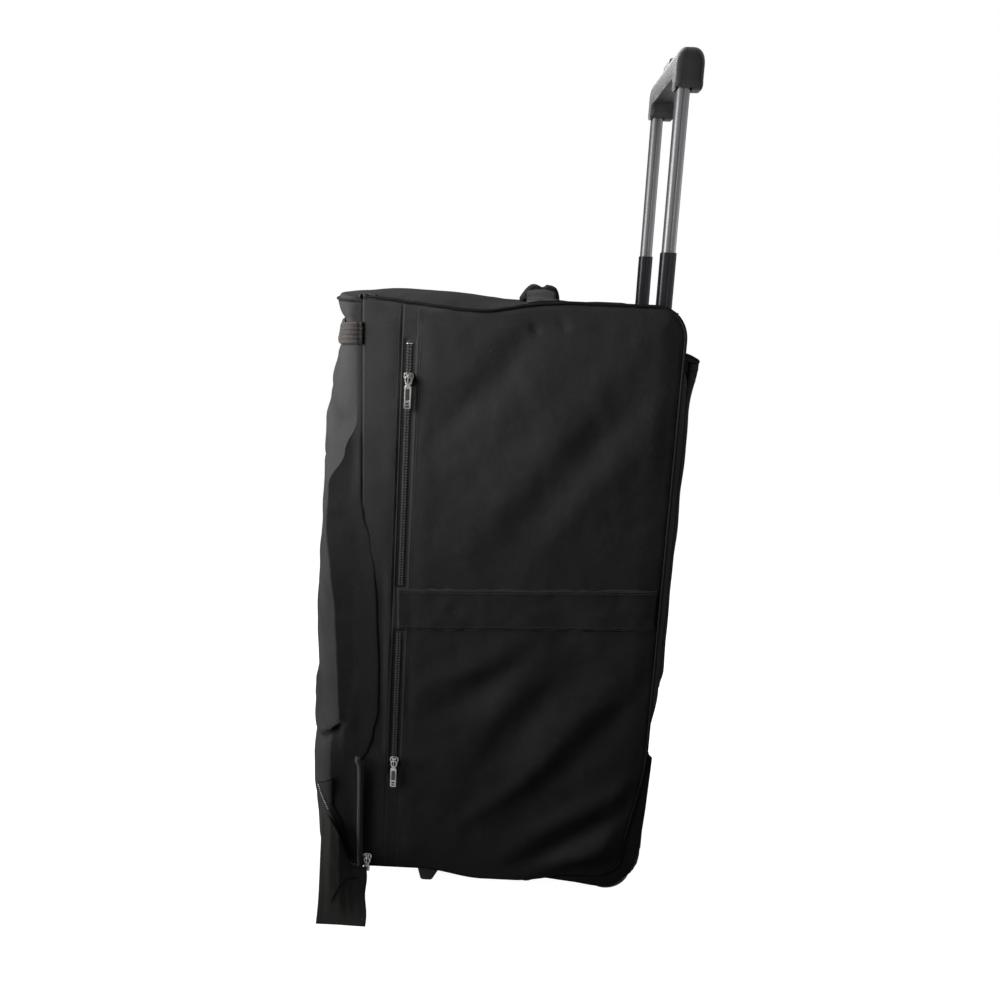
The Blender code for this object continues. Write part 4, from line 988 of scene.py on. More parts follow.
def lidHalf(z, sign, crown=None):
    # right or left half of the lid's section, from the zip line to the crown
    crease, crisp, over = [through(lidShape[key], z) for key in ("creases", "crisp", "over")]
    if sign < 0:
        crease, crisp, over = mix(0.026, 0.006, ease(0.6, 0.76, z)), 0.15, over * 0.3
    rise = ease(0.0, 0.008, over)
    near = min(1.0, crease / 0.014)  # a shallow crease keeps its points in order, and lies flush
    flush = mix(0.15, 1.0, near * near)
    back = seamY - lidShape["lap"]
    corner = Vector((half + mix(0.0013, 0.0022, rise) * flush + 0.0022 * ease(0.006, 0.03, crease),
                     back - crease))
    tip = mix(back, seamY + over, rise)
    turn = [Vector((half + mix(-0.0002, 0.0003, rise), tip))]
    turn += [Vector((half + mix(low, high, rise) * flush, tip - down * near))
             for low, high, down in lidShape["lip"]]
    turn += [Vector((half + mix(0.0013, 0.0019, rise) * flush,
                     mix(back - crease * 0.45, seamY - crease * 0.25, rise))), corner]
    wall = spaced([(p.x, p.y, 0.0) for p in rounded(turn, 8)], lidShape["wallCells"] + 1)
    if sign > 0:
        front = fittedFront(corner, crisp, through(lidShape["edge"], z))
    else:
        front = lidFront(corner, Vector((corner.x - 0.032 * crisp, corner.y - 0.03)), crown)
    count = lidShape["frontCells"]
    # cells get longer away from the corner
    full = spaced([(p.x, p.y, 0.0) for p in front], 241)
    picks = [full[round(240 * (k / count) ** 1.25)] for k in range(count + 1)]
    return [Vector((sign * p[0], p[1])) for p in wall[:-1] + picks]


def lidSection(z):
    right = lidHalf(z, 1)
    left = lidHalf(z, -1, right[-1].y)
    return right + list(reversed(left[:-1]))


def stepLine(y):
    # where the upper lobe hangs over the fold below it
    return 0.257 + clamp(y + 0.197, -0.03, 0.0)


crumple = {"soft": 0.0016, "fine": 0.0007, "step": 0.008, "roll": 0.0012, "brow": 0.0022, "hollow": 0.002,
    "stays": ((0.0, 0.55, 0.003), (0.01, 0.75, 0.0024), (0.022, 0.95, 0.0018))}


def lidCrumple(x, y, z):
    # folds of the lid's cloth, along its own normal
    front = ease(-0.19, -0.2, y)
    lift = crumple["soft"] * grain(x * 0.7, y, z * 0.9, 11.0, 4.0) + crumple["fine"] * grain(x, y, z, 34.0, 9.0)
    below = stepLine(y) - z
    if below > -0.003:
        lift -= crumple["step"] * ease(-0.001, 0.001, below) * math.exp(-max(0.0, below) / 0.017) * front
    lift += crumple["roll"] * math.exp(-((below + 0.01) / 0.01) ** 2) * front
    lift += crumple["brow"] * math.exp(-((z - 0.7 + (abs(x) - 0.12) * 0.9) / 0.012) ** 2) * front
    lift -= crumple["hollow"] * math.exp(-((z - 0.64 - (abs(x) - 0.14) * 1.1) / 0.01) ** 2) * front
    # folds that run up from the strap's ends
    spans = ease(0.778, 0.784, z) * ease(0.803, 0.792, z)
    for at, lean, high in crumple["stays"]:
        off = (seamY - 0.012 - at - y) - (z - 0.78) * lean
        lift += high * max(0.0, 1 - abs(off) / 0.006) * spans
    return lift


def lidRing(z, out=0.0):
    section = lidSection(z)
    count = len(section)
    ring = []
    for k, p in enumerate(section):
        a = section[max(0, k - 1)]
        b = section[min(count - 1, k + 1)]
        way = (b - a).normalized()
        normal = Vector((-way.y, way.x)) * -1.0
        if normal.dot(Vector((p.x, p.y - seamY - 0.02))) < 0:
            normal.negate()
        edge = ease(0.0, 0.02, min(topZ - z, z - baseZ))
        lift = lidCrumple(p.x, p.y, z) * ease(seamY - 0.004, seamY - 0.016, p.y) * edge + out
        ring.append(Vector((p.x + normal.x * lift, p.y + normal.y * lift, z)))
    return ring


def lidBody():
    foot = baseZ + 0.008
    levels = [baseZ + 0.002, baseZ + 0.004] + [foot + (topZ - 0.004 - foot) * k / 160 for k in range(161)]
    rows = []
    for z in levels:
        tuck = 0.01 * (1 - math.sqrt(clamp((z - baseZ) / 0.01)))
        rows.append([Vector((p.x * (1 - tuck * 3), seamY + (p.y - seamY) * (1 - tuck * 9), p.z))
                     for p in lidRing(z)])
    under = [[Vector((p.x, seamY - 0.001 + (p.y - seamY + 0.001) * share, baseZ + 0.0012)) for p in rows[0]]
             for share in (0.04, 0.35, 0.7)]
    rows = under + rows
    piece = skin("lid_cloth", rows, bodyCloth, liningCloth, flip=True)
    # lighter, greyer cloth in patches towards the lid's front
    rub(piece, [0.4 * clamp(0.5 + grain(*p, 20.0)) * ease(-0.2, -0.24, p.y) for row in rows for p in row])
    return rideAs(thickened(piece, lidShape["thick"], lined=True), "front_lid")


topShape = {"crown": 0.0072, "rest": 0.0006, "ripple": 0.0012, "thick": 0.0026, "inset": 0.0022,
    "round": 0.0045, "slotGap": 0.0006, "frontRows": 14, "flatRows": 60, "backRows": 12, "backBulge": 0.0015,
    "hinge": 0.016}


def crownLift(x, y):
    # how far the top stands above its corner line
    out = abs(x) / half
    share = ease(0.25, 1.0, out)
    crown = topShape["crown"] * ease(-0.24, -0.17, y) * ease(0.02, -0.1, y) + topShape["rest"]
    edge = topSag(y, 1 if x > 0 else -1) * share * ease(-0.23, -0.15, y)
    ripple = topShape["ripple"] * grain(x, y, 0.0, 16.0, 2.0) * (1 - share * 0.5)
    return crown * (1 - out ** 4) + edge + ripple


def topCloth():
    bezelLow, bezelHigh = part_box("trolley_bezel")
    r = side["topRound"]
    front = lidSection(topZ - 0.004)
    count = len(front)
    rows = []
    steps = topShape["frontRows"]
    for share in [1.0, 0.985, 0.95] + [0.9 - 0.9 * k / steps for k in range(steps + 1)]:
        z = topZ - topShape["round"] + topShape["round"] * math.sqrt(clamp((1 - share) / 0.06))
        spots = [(p.x, seamY + (p.y - seamY) * share) for p in front]
        rows.append([Vector((x, y, z + crownLift(x, y) * clamp((1 - share) * 9))) for x, y in spots])
    flat = topShape["flatRows"]
    slotY = bezelLow.y - topShape["slotGap"]
    slotRow = len(rows) + flat - 1
    path = [(seamY + (slotY - seamY) * k / flat, topZ) for k in range(1, flat + 1)]
    start = math.acos(clamp((slotY + 0.0004 - backY + r) / r))
    path += [(backY - r + r * math.cos(turn), topZ - r + r * math.sin(turn))
             for turn in (start * (1 - k / topShape["backRows"]) for k in range(1, topShape["backRows"] + 1))]
    path.append((backY, bezelLow.z + 0.0005))
    inner = half - topShape["inset"]
    even = [inner * (1 - 2 * k / (count - 1)) for k in range(count)]
    slotX = bezelHigh.x + topShape["slotGap"]
    near = min(range(count), key=lambda k: abs(even[k] - slotX))
    far = min(range(count), key=lambda k: abs(even[k] + slotX))
    even[near], even[far] = slotX, -slotX
    for step, (y, z) in enumerate(path):
        relax = ease(0, 12, step)
        row = []
        for k in range(count):
            x = mix(front[k].x * inner / half, even[k], relax)
            lift = crownLift(x, y) * ease(-0.01, 0.04, z - topZ + r)
            bulge = 0.0 if step < flat else topShape["backBulge"] * (1 - (x / half) ** 2)
            row.append(Vector((x, y + bulge, z + lift)))
        rows.append(row)
    piece = skin("top_cloth", rows, bodyCloth, liningCloth,
                 skip=lambda row, column: row >= slotRow and near <= column < far)
    thickened(tidyFacing(piece, Vector((0, 0, 1))), topShape["thick"], lined=True)
    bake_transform(piece)
    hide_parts("top_panel")


lidBody()
topCloth()
print("stage: lid and top")


# side trim: bands, tapes, teeth, stitches

bandLow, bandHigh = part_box("side_band_right")
band = {"rise": 0.0135, "thick": 0.001, "proud": 0.0005, "hem": 0.0006, "ripple": 0.0005, "stand": 0.0021,
    "ahead": 0.003, "behind": 0.002, "seams": (0.0025, 0.0055)}
bandTall = bandHigh.z - bandLow.z - band["rise"]
stitchRows = {"front": 0.0052, "near": 0.0022, "far": 0.0052, "upper": (0.797, 0.455), "lower": (0.39, 0.186),
    "whole": (0.8, 0.1)}


def bandCloth(sign):
    label = sideName(sign)
    rows = []
    for k in range(121):
        y = mix(bandLow.y, bandHigh.y, k / 120)
        row = []
        for share in (j / 16 for j in range(17)):
            z = bandLow.z + band["rise"] * k / 120 + bandTall * share
            out = band["proud"] - band["hem"] * ease(0.03, 0.0, min(share, 1 - share))
            row.append(sidePlace(sign, y, z, out + band["ripple"] * grain(y, z, 0, 60.0, 6.0)))
        rows.append(row)
    piece = skin(f"band_cloth_{label}", rows, bandPaint, flip=sign > 0)
    return rideAs(thickened(piece, band["thick"]), f"side_band_{label}")


def sideLine(sign, spots, out=0.0):
    # (point, up) pairs just above a side's cloth, through (y, z) spots
    found = []
    for (ay, az), (by, bz) in zip(spots, spots[1:]):
        steps = max(2, int(math.hypot(by - ay, bz - az) / 0.004))
        found += [(mix(ay, by, k / steps), mix(az, bz, k / steps)) for k in range(steps)]
    found.append(spots[-1])
    return [(sidePlace(sign, y, z, out), (sign, 0.0, 0.0)) for y, z in found]


tapeBed = {"thick": 0.0007, "coilUp": 0.0008, "coilOff": 0.0016, "coilStep": 0.0035, "stopUp": 0.001,
    "stop": (0.0085, 0.0024, 0.0016)}


def pocketZip(label, low, high, stop):
    # tape in its bed, two rows of coil, and the stop at one end
    x = half + bedLift - 0.0004
    wide = pocket["edge"] - 0.0001
    rows = []
    for k in range(81):
        z = mix(low, high, k / 80)
        rows.append([Vector((x - 0.0003 + 0.0004 * ease(0.0045, 0.002, abs(t)), zipLine(z) + t, z))
                     for t in (wide * (2 * j / 14 - 1) for j in range(15))])
    tape = tidyFacing(skin(f"zip_tape_cloth_{label}", rows, tapePaint), Vector((1, 0, 0)))
    rideAs(thickened(tape, tapeBed["thick"]), f"zip_tape_{label}")
    for way, tag in ((1, "back"), (-1, "front")):
        line = [(Vector((x + tapeBed["coilUp"], zipLine(z) + way * tapeBed["coilOff"], z)), (1.0, 0.0, 0.0))
                for z in (mix(low + 0.003, high - 0.004, k / 40) for k in range(41))]
        stamped(f"zip_coil_{label}_{tag}", [line], coilStamps[way], tapeBed["coilStep"], coilPaint, "root")
    bar = bead(f"zip_stop_{label}", *tapeBed["stop"], nickel if label == "upper" else coilPaint)
    bar.data.transform(Matrix.Translation((x + tapeBed["stopUp"], zipLine(stop), stop))
                       @ Matrix.Rotation(math.pi / 2, 4, "Z"))
    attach(bar, "root")


def pocketStitches():
    t = pocket["edge"]
    runs = [(-t - stitchRows["front"], stitchRows["whole"])]
    runs += [(t + stitchRows[off], stitchRows[span]) for span in ("upper", "lower") for off in ("near", "far")]
    lines = [sideLine(1, [(zipLine(high) + off, high), (zipLine(low) + off, low)], 0.0001)
             for off, (high, low) in runs]
    stitched("pocket_stitches", lines, "root")
    front, back = bandLow.y + band["ahead"], bandHigh.y - band["behind"]
    near, far = band["seams"]
    for sign in (1, -1):
        lines = [sideLine(sign, [(front, bandLow.z + up), (back, bandLow.z + band["rise"] + up)], band["stand"])
                 for up in (near, far, bandTall - far, bandTall - near)]
        lines.append(sideLine(sign, [(front, bandLow.z + 0.003), (front, bandLow.z + bandTall - 0.003)],
                              band["stand"]))
        stitched(f"band_stitches_{sideName(sign)}", lines, "root")


cord = {"side": 0.0018, "lid": 0.0016, "out": 0.0008, "heelIn": 0.0016, "ahead": 0.003, "foot": 0.004,
    "under": 0.0034, "tuckIn": 0.0022, "tuckDown": 0.001, "tuckCells": 8}


def edgeRoute(sign):
    # corner line of a side, from the zip line over the top, down the back and under the bag
    r = side["topRound"]
    front, foot = seamY + cord["ahead"], baseZ + cord["foot"]
    spots = [(front + (backY - r - front) * k / 50, topZ) for k in range(50)]
    spots += [(backY - r + r * math.cos(a), topZ - r + r * math.sin(a))
              for a in (math.pi / 2 * (1 - k / 12) for k in range(12))]
    spots += [(backEdge(z), z) for z in (topZ - r - (topZ - r - foot) * k / 60 for k in range(61))]
    heel = spots[-1][0]
    spots += [(heel - 0.003, baseZ + 0.0044)]
    under = [mix(heel - 0.008, seamY + 0.004, k / 50) for k in range(51)]
    spots += [(y, baseZ + cord["under"] - baseSag(y)) for y in under]
    return [Vector((sign * (half + cord["out"] - cord["heelIn"] * ease(0.235, 0.2, z)), y,
                    z + topSag(y, sign) * ease(0.7, topZ, z))) for y, z in spots]


def cordPiping(sign):
    label = sideName(sign)
    route = spaced(edgeRoute(sign), 320)
    piece = rod(f"piping_cord_{label}", route, lambda t: cord["side"] * ease(-0.003, 0.012, t), edgeCord)
    return rideAs(piece, f"piping_{label}")


def lidPiping():
    back = seamY - 0.0036
    route = [Vector((p.x * 1.003, back + (p.y - back) * 1.01, topZ - 0.0022)) for p in lidRing(topZ - 0.004)]
    route = spaced([p for p in route if p.y < seamY - 0.0034], 170)
    for k in range(cord["tuckCells"]):
        share = 1 - k / cord["tuckCells"]
        for p, sign in ((route[k], 1), (route[-1 - k], -1)):
            p.x -= sign * cord["tuckIn"] * share
            p.z -= cord["tuckDown"] * share
    piece = rod("lid_piping", route, lambda t: cord["lid"] * ease(-0.004, 0.03, min(t, 1 - t)), edgeCord,
                up=Vector((0, 0, 1)))
    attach(piece, "lid")


bandPaint = cloth("band_cloth", (0.037, 0.037, 0.04), pitch=0.0011, rough=0.66, sheen=0.0)
coilPaint = plastic("coil_paint", (0.038, 0.038, 0.041), rough=0.45, texture=900.0, worn=0.2, specular=0.15)
coilStamps = {way: bead(f"coil_stamp_{way}", 0.0015, 0.0034, 0.0013) for way in (1, -1)}
for way, stamp in coilStamps.items():
    stamp.data.transform(Matrix.Rotation(0.45 * way, 4, "Z"))
for sign in (1, -1):
    bandCloth(sign)
    cordPiping(sign)
lidPiping()
pocketZip("upper", 0.4525, 0.7615, 0.757)
pocketZip("lower", 0.1815, 0.3905, 0.186)
pocketStitches()
print("stage: side trim")


# the lid's zip, its sliders and pulls

mainTape = {"thick": 0.0006, "in": 0.0016, "bow": 0.0003, "toothStep": 0.0021, "toothIn": 0.0029,
    "toothAhead": 0.0004, "baseDown": 0.0004, "baseToothDown": 0.001}


def mainZip():
    low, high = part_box("main_zip_tape")
    tall = (baseZ + 0.001, high.z)
    for sign in (1, -1):
        label = sideName(sign)
        rows = [[Vector((sign * (half - mainTape["in"] + mainTape["bow"] * math.sin(share * math.pi)),
                         mix(low.y - 0.0004, high.y, share), mix(*tall, k / 100)))
                 for share in (j / 6 for j in range(7))] for k in range(101)]
        tape = tidyFacing(skin(f"main_tape_{label}", rows, tapePaint), Vector((sign, 0, 0)))
        thickened(tape, mainTape["thick"])
        if sign > 0:
            rideAs(tape, "main_zip_tape")
        else:
            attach(tape, "root")
        x, y = sign * (high.x - mainTape["toothIn"]), low.y + mainTape["toothAhead"]
        line = [(Vector((x, y, mix(baseZ + 0.004, high.z - 0.004, k / 40))), (sign * 0.3, -0.95, 0.0))
                for k in range(41)]
        stamped(f"main_coil_{label}", [line], toothStamp, mainTape["toothStep"], toothPaint, "root")
    rows = [[Vector((mix(-half + 0.001, half - 0.001, k / 40), mix(low.y, high.y, share),
                     baseZ - mainTape["baseDown"] - mainTape["bow"] * math.sin(share * math.pi)))
             for share in (j / 4 for j in range(5))] for k in range(41)]
    under = tidyFacing(skin("main_tape_base", rows, tapePaint), Vector((0, 0, -1)))
    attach(thickened(under, mainTape["thick"]), "root")
    y, z = low.y + 0.0012, baseZ - mainTape["baseToothDown"]
    line = [(Vector((mix(-half + 0.004, half - 0.004, k / 20), y, z)), (0.0, 0.0, -1.0)) for k in range(21)]
    stamped("main_coil_base", [line], toothStamp, mainTape["toothStep"], toothPaint, "root")


def oval(a, b, wide, tall, count=20):
    return [(a + wide * math.cos(2 * math.pi * k / count), b + tall * math.sin(2 * math.pi * k / count))
            for k in range(count)]


slider = {"w": 0.006, "l": 0.0074, "thick": 0.0013, "bevel": 0.0004, "up": 0.0009, "roof": 0.0012,
    "roofUp": 0.0029, "wedge": 0.003, "wedgeUp": 0.0022, "bridge": 0.001, "pull": 0.0018, "pullUp": 0.0047,
    "core": 0.0008, "wings": [(-0.62, -1, 0.0012), (0.62, -1, 0.0012), (0.78, -0.2, 0.002), (1, 0.25, 0.0018),
    (0.92, 0.75, 0.0018), (0.45, 1, 0.0016), (-0.45, 1, 0.0016), (-0.92, 0.75, 0.0018), (-1, 0.25, 0.0018),
    (-0.78, -0.2, 0.002)], "arch": [(-0.72, 0.0034), (-0.66, 0.0056), (-0.3, 0.007), (0.3, 0.007), (0.66,
    0.0058), (0.76, 0.0034)], "waist": [(0.0034, 0.0022), (0.0043, -0.0016), (0.0032, -0.0056), (0.0026,
    -0.0076), (0.004, -0.0098), (0.0041, -0.014)]}


def pullOutline(long):
    # right side down to the tip, then the left side back up
    tip = 0.002 - long
    right = slider["waist"] + [(0.004, tip + 0.003), (0.0034, tip + 0.0006)]
    left = [(-a, b) for a, b in reversed(right)]
    return [(p.x, p.y) for p in rounded([(a, b, 0) for a, b in [(0, 0.0036)] + right + [(0, tip)] + left], 4,
                                        closed=True)]


def zipSlider(name, sizes):
    low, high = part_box(f"{name}_zip_slider")
    centre = Vector((sizes["x"], (low.y + high.y) / 2, (low.z + high.z) / 2))
    up = Vector((0, zipLine(1.0) - zipLine(0.0), 1.0)).normalized() if name != "main" else Vector((0, 0, 1))
    across = up.cross(Vector((1, 0, 0))).normalized()
    turn = Matrix.Translation(centre) @ Matrix((across * -1, up, Vector((1, 0, 0)))).transposed().to_4x4()

    def raised(out):
        return turn @ Matrix.Translation((0, 0, out))

    w, l = slider["w"], slider["l"]
    wings = cornered([(a * w, b * l, radius) for a, b, radius in slider["wings"]], 4)
    body = plate(f"{name}_slider_plate", [wings], slider["thick"], slider["bevel"], raised(slider["up"]),
                 nickel)
    roof = plate(f"{name}_slider_roof", [[(a * 0.8, b * 0.84) for a, b in wings]], slider["roof"],
                 slider["bevel"], raised(slider["roofUp"]), pullCore)
    shape = cornered([(-0.0022, 0.001, 0.0006), (0.0022, 0.001, 0.0006), (0.003, l * 0.9, 0.0008),
                      (-0.003, l * 0.9, 0.0008)], 3)
    wedge = plate(f"{name}_slider_wedge", [shape], slider["wedge"], 0.0003, raised(slider["wedgeUp"]), nickel)
    arch = rounded([(0, b * l, out) for b, out in slider["arch"]], 6)
    bridge = rod(f"{name}_slider_bridge", [turn @ p for p in arch], slider["bridge"], nickel,
                 scale=(1.35, 0.62), up=turn.to_3x3() @ Vector((1, 0, 0)))
    joined(body, roof, wedge, bridge)
    body.name = f"{name}_slider_body"
    rideAs(body, f"{name}_zip_slider")
    long = sizes["pull"] > 0.03
    holes = [oval(0, -0.0012, 0.0027, 0.0032)]
    if long:
        holes.append(block(-0.0024, -0.012, 0.0024, -0.026, 0.0012, 3))
        holes += [block(-0.0021, b, 0.0021, b - 0.0018, 0.0006, 2) for b in (-0.029, -0.0325)]
    pull = plate(f"{name}_pull_tab", [pullOutline(sizes["pull"])] + holes, slider["pull"], 0.0005,
                 raised(slider["pullUp"]), nickel)
    if long:
        joined(pull, plate(f"{name}_pull_core", [block(-0.0028, -0.0115, 0.0028, -0.0265, 0.001, 3)],
                           slider["core"], 0.0002, raised(slider["pullUp"]), pullCore))
    rideAs(pull, f"{name}_zip_pull")


mainZip()
bed = half + bedLift
zipSlider("upper", {"x": bed + 0.0002, "pull": 0.0385})
zipSlider("lower", {"x": bed + 0.0002, "pull": 0.0385})
zipSlider("main", {"x": half + 0.0018, "pull": 0.0205})
print("stage: zips")


# webbing across the lid, flaps and the rolled welt

strap = {"ribs": 5, "rib": 0.0026, "stand": 0.0026, "thick": 0.0014, "ends": 0.0018, "cells": 150,
    "wave": 0.0015, "droop": 0.004, "pinchX": 0.0016, "pinchZ": 0.0012}


def strapWebbing():
    low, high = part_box("front_strap")
    beyond = Vector((0, strap["ends"], 0))
    rows = []
    for share in (k / 30 for k in range(31)):
        z = mix(low.z + 0.0005, high.z - 0.0005, share)
        rib = strap["rib"] * abs(math.sin(share * strap["ribs"] * math.pi)) ** 0.6
        stand = strap["stand"] * math.sin(share * math.pi) ** 0.5
        ring = [p.lerp(q, ease(seamY - 0.004, seamY - 0.022, p.y))
                for p, q in zip(lidRing(z, 0.0004 + rib * 0.3), lidRing(z, 0.0014 + stand + rib))]
        row = [p for p in ring if p.y < seamY - 0.001]
        rows.append(spaced([row[0] + beyond] + row + [row[-1] + beyond], strap["cells"]))
    for row in rows:
        for j, p in enumerate(row):
            end = min(j, len(row) - 1 - j)
            droop = ease(0, 26, end)
            p.z += strap["wave"] * droop * math.sin(j * 0.21)
            p.z -= strap["droop"] * droop * ease(0.1, 0.175, abs(p.x))
            pinch = ease(5.5, 1.5, end)
            p.x += math.copysign(strap["pinchX"] * pinch * grain(j * 0.021, p.z * 1.7, 0.0, 120.0, 2.0), p.x)
            p.z += strap["pinchZ"] * pinch * grain(j * 0.03, p.z, 1.0, 90.0, 3.0)
    piece = tidyFacing(turnUv(skin("strap_webbing", rows, greyWeb)), Vector((0, -1, 0)))
    rideAs(thickened(piece, strap["thick"]), "front_strap")
    for sign, columns in ((1, (1, 3)), (-1, (-2, -4))):
        lines = [[(row[c] + Vector((sign * 0.0006, 0, 0)), (sign, 0.0, 0.0)) for row in rows] for c in columns]
        stitched(f"bar_tack_{sideName(sign)}", lines, "lid", 0.0016, 0.2)


def turnUv(piece):
    for corner in piece.data.uv_layers["cloth"].data:
        corner.uv = (corner.uv.y, corner.uv.x)
    return piece


flapShape = {"rows": 46, "columns": 30, "thick": 0.0018, "hem": 0.0011, "seam": 0.0008, "ripple": 0.0028,
    "crinkle": 0.001, "sway": 0.0015, "top": [(0.0, (0.158, -0.227, 0.126)), (0.25, (0.18, -0.2105, 0.112)),
    (0.45, (0.187, -0.198, 0.095)), (0.65, (0.189, -0.1885, 0.066)), (0.8, (0.189, -0.18, 0.047)), (1.0,
    (0.181, -0.1605, 0.037))], "foot": (-0.2155, -0.15), "seamLine": [(0.867, 0.217), (0.767, 0.267), (0.633,
    0.383), (0.517, 0.533), (0.4, 0.633), (0.333, 0.717), (0.283, 0.783)]}


def flapPoint(u, v):
    # place on the right flap: u runs back from the lid's front, v down to the floor
    low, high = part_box("lid_flap_right")
    top = Vector([through([(k, p[axis]) for k, p in flapShape["top"]], u) for axis in range(3)])
    foot = Vector((high.x, mix(*flapShape["foot"], u), low.z + 0.0002))
    elbow = Vector((mix(top.x, high.x, 0.22), mix(top.y, foot.y, 0.3), mix(top.z, foot.z, 0.38)))
    knee = Vector((mix(top.x, high.x, 0.55), mix(top.y, foot.y, 0.75), mix(top.z, foot.z, 0.78)))
    p = top * (1 - v) ** 3 + elbow * 3 * v * (1 - v) ** 2 + knee * 3 * v * v * (1 - v) + foot * v ** 3
    swell = math.sin(math.pi * u) * math.sin(math.pi * min(1.0, v * 1.02))
    ripple = flapShape["ripple"] * swell * grain(u, v, 0, 2.6, 4.0)
    ripple += flapShape["crinkle"] * swell * grain(u, v, 0, 8.0, 1.0)
    p += Vector((0.5, 0, 0.8)) * ripple
    p.y += flapShape["sway"] * math.sin(v * 7.0 + 1.0) * (0.3 + u) * math.sin(math.pi * v)
    return p


def flapCloth(sign):
    label = sideName(sign)
    flip = Vector((sign, 1, 1))
    down, along = flapShape["rows"], flapShape["columns"]
    rows = [[flapPoint(c / along, r / down) * flip for c in range(along + 1)] for r in range(down + 1)]
    piece = tidyFacing(skin(f"flap_cloth_{label}", rows, flapPaint, liningCloth), Vector((sign, 0, 0.6)))
    rideAs(thickened(piece, flapShape["thick"]), f"lid_flap_{label}")
    sewn = [rod(f"flap_hem_{label}", rounded(rows[1][::3], 3), flapShape["hem"], flapPaint, sides=8)]
    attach(sewn[0], "lid")
    for c, tag in ((2, "front"), (along - 2, "back")):
        line = [(row[c] + Vector((sign * 0.0007, 0, 0.0007)), (sign * 0.6, 0.0, 0.8)) for row in rows[3:-2]]
        sewn.append(stitched(f"flap_stitches_{label}_{tag}", [line], "lid"))
    if sign > 0:
        seam = [flapPoint(u, v) + Vector((0.001, 0, 0.0006)) for u, v in flapShape["seamLine"]]
        sewn.append(rod("flap_seam", rounded(seam, 8), flapShape["seam"], edgeCord, sides=6))
        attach(sewn[-1], "lid")


def lidSpot(y, z, out):
    # point on the right of the lid at this y, lifted off its cloth
    ring = lidRing(z)
    for k in range(3, lidShape["wallCells"] + lidShape["frontCells"]):
        if ring[k + 1].y <= y:
            share = clamp((ring[k].y - y) / max(1e-9, ring[k].y - ring[k + 1].y))
            here = ring[k].lerp(ring[k + 1], share)
            way = ring[k + 1] - ring[k]
            return here + Vector((-way.y, way.x, 0.0)).normalized() * out
    return ring[lidShape["wallCells"]].copy()


zipCorner = {"line": [(-0.2255, 0.153), (-0.215, 0.137), (-0.206, 0.121), (-0.1975, 0.099), (-0.1905, 0.072),
    (-0.185, 0.048)], "wide": 0.0085, "stand": 0.0009, "thick": 0.0006, "toothStep": 0.0027, "wobble": 0.1}


def zipEdge():
    # the lid's open zip hangs slack here: its tape and teeth cross the corner; the tape is painted near black,
    # a painted shadow along the corner, and the upper third of the teeth are bright metal as painted glints
    line = rounded([(y, z, 0) for y, z in zipCorner["line"]], 8)
    rows = []
    teeth = []
    for k, p in enumerate(line):
        way = (line[min(k + 1, len(line) - 1)] - line[max(k - 1, 0)]).normalized()
        across = Vector((way.y, -way.x, 0)) * -1.0
        spots = [p + across * (zipCorner["wide"] * (j / 6 - 0.5)) for j in range(7)]
        row = [lidSpot(q.x, q.y, zipCorner["stand"]) for q in spots]
        rows.append(row)
        front = row[0] if row[0].y < row[-1].y else row[-1]
        teeth.append((front + Vector((0.0006, -0.0006, 0)), (0.7, -0.7, 0.0)))
    piece = tidyFacing(skin("zip_edge_tape", rows, shadowTape), Vector((1, -0.4, 0)))
    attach(thickened(piece, zipCorner["thick"]), "lid")
    share = len(teeth) // 3
    # the upper third of the teeth get the bright metal as painted glints
    for name, part, paint in (("zip_edge_teeth", teeth[share:], toothPaint),
                              ("zip_edge_bare_teeth", teeth[:share + 1], glintTooth)):
        stamped(name, [part], toothStamp, zipCorner["toothStep"], paint, "lid", zipCorner["wobble"])


turnedOver = {"corners": ((-0.229, 0.155), (-0.206, 0.175), (-0.208, 0.133)), "cells": 12, "stand": 0.0014,
    "curl": 0.001, "thick": 0.0012, "hem": 0.0008}


def turnedCorner():
    # a corner of the lid's cloth folded over, above the slack zip
    a, b, c = [Vector(corner) for corner in turnedOver["corners"]]
    cells = turnedOver["cells"]
    rows = []
    for share in (r / cells for r in range(cells + 1)):
        start, stop = a.lerp(c, share), b.lerp(c, share)
        spots = [(start.lerp(stop, k / cells), k / cells) for k in range(cells + 1)]
        rows.append([lidSpot(p.x, p.y, turnedOver["stand"] + turnedOver["curl"] * (1 - share) * along)
                     for p, along in spots])
    piece = tidied(skin("turned_corner", rows, bodyCloth, liningCloth), 1e-5)
    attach(thickened(tidyFacing(piece, Vector((1, -1, 0))), turnedOver["thick"]), "lid")
    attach(rod("turned_corner_hem", rows[0], turnedOver["hem"], edgeCord, sides=8), "lid")


welt = {"radius": 0.0042, "line": [(0.005, -0.009, 0.208), (0.0062, -0.006, 0.203), (0.006, -0.003, 0.192),
    (0.005, -0.0032, 0.15), (0.0046, -0.004, 0.09), (0.004, -0.0036, 0.044), (0.003, -0.0036, 0.038)]}


def rolledWelt():
    line = rounded([(half + x, seamY + y, z) for x, y, z in welt["line"]], 10)
    piece = rod("rolled_welt", line,
                lambda t: welt["radius"] * (0.4 + 0.6 * ease(0.0, 0.14, t)) * (1 - 0.3 * ease(0.93, 1.0, t)),
                litWeltPaint, sides=14, scale=(1.0, 0.9))
    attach(piece, "root")


flapPaint = cloth("flap_paint", (0.036, 0.036, 0.035), sheen=0.03)
# the welt's cloth is painted lighter than the body cloth: a painted highlight along the rolled edge
litWeltPaint = cloth("welt_paint", (0.062, 0.066, 0.068), pitch=0.0009, rough=0.5, sheen=0.1)
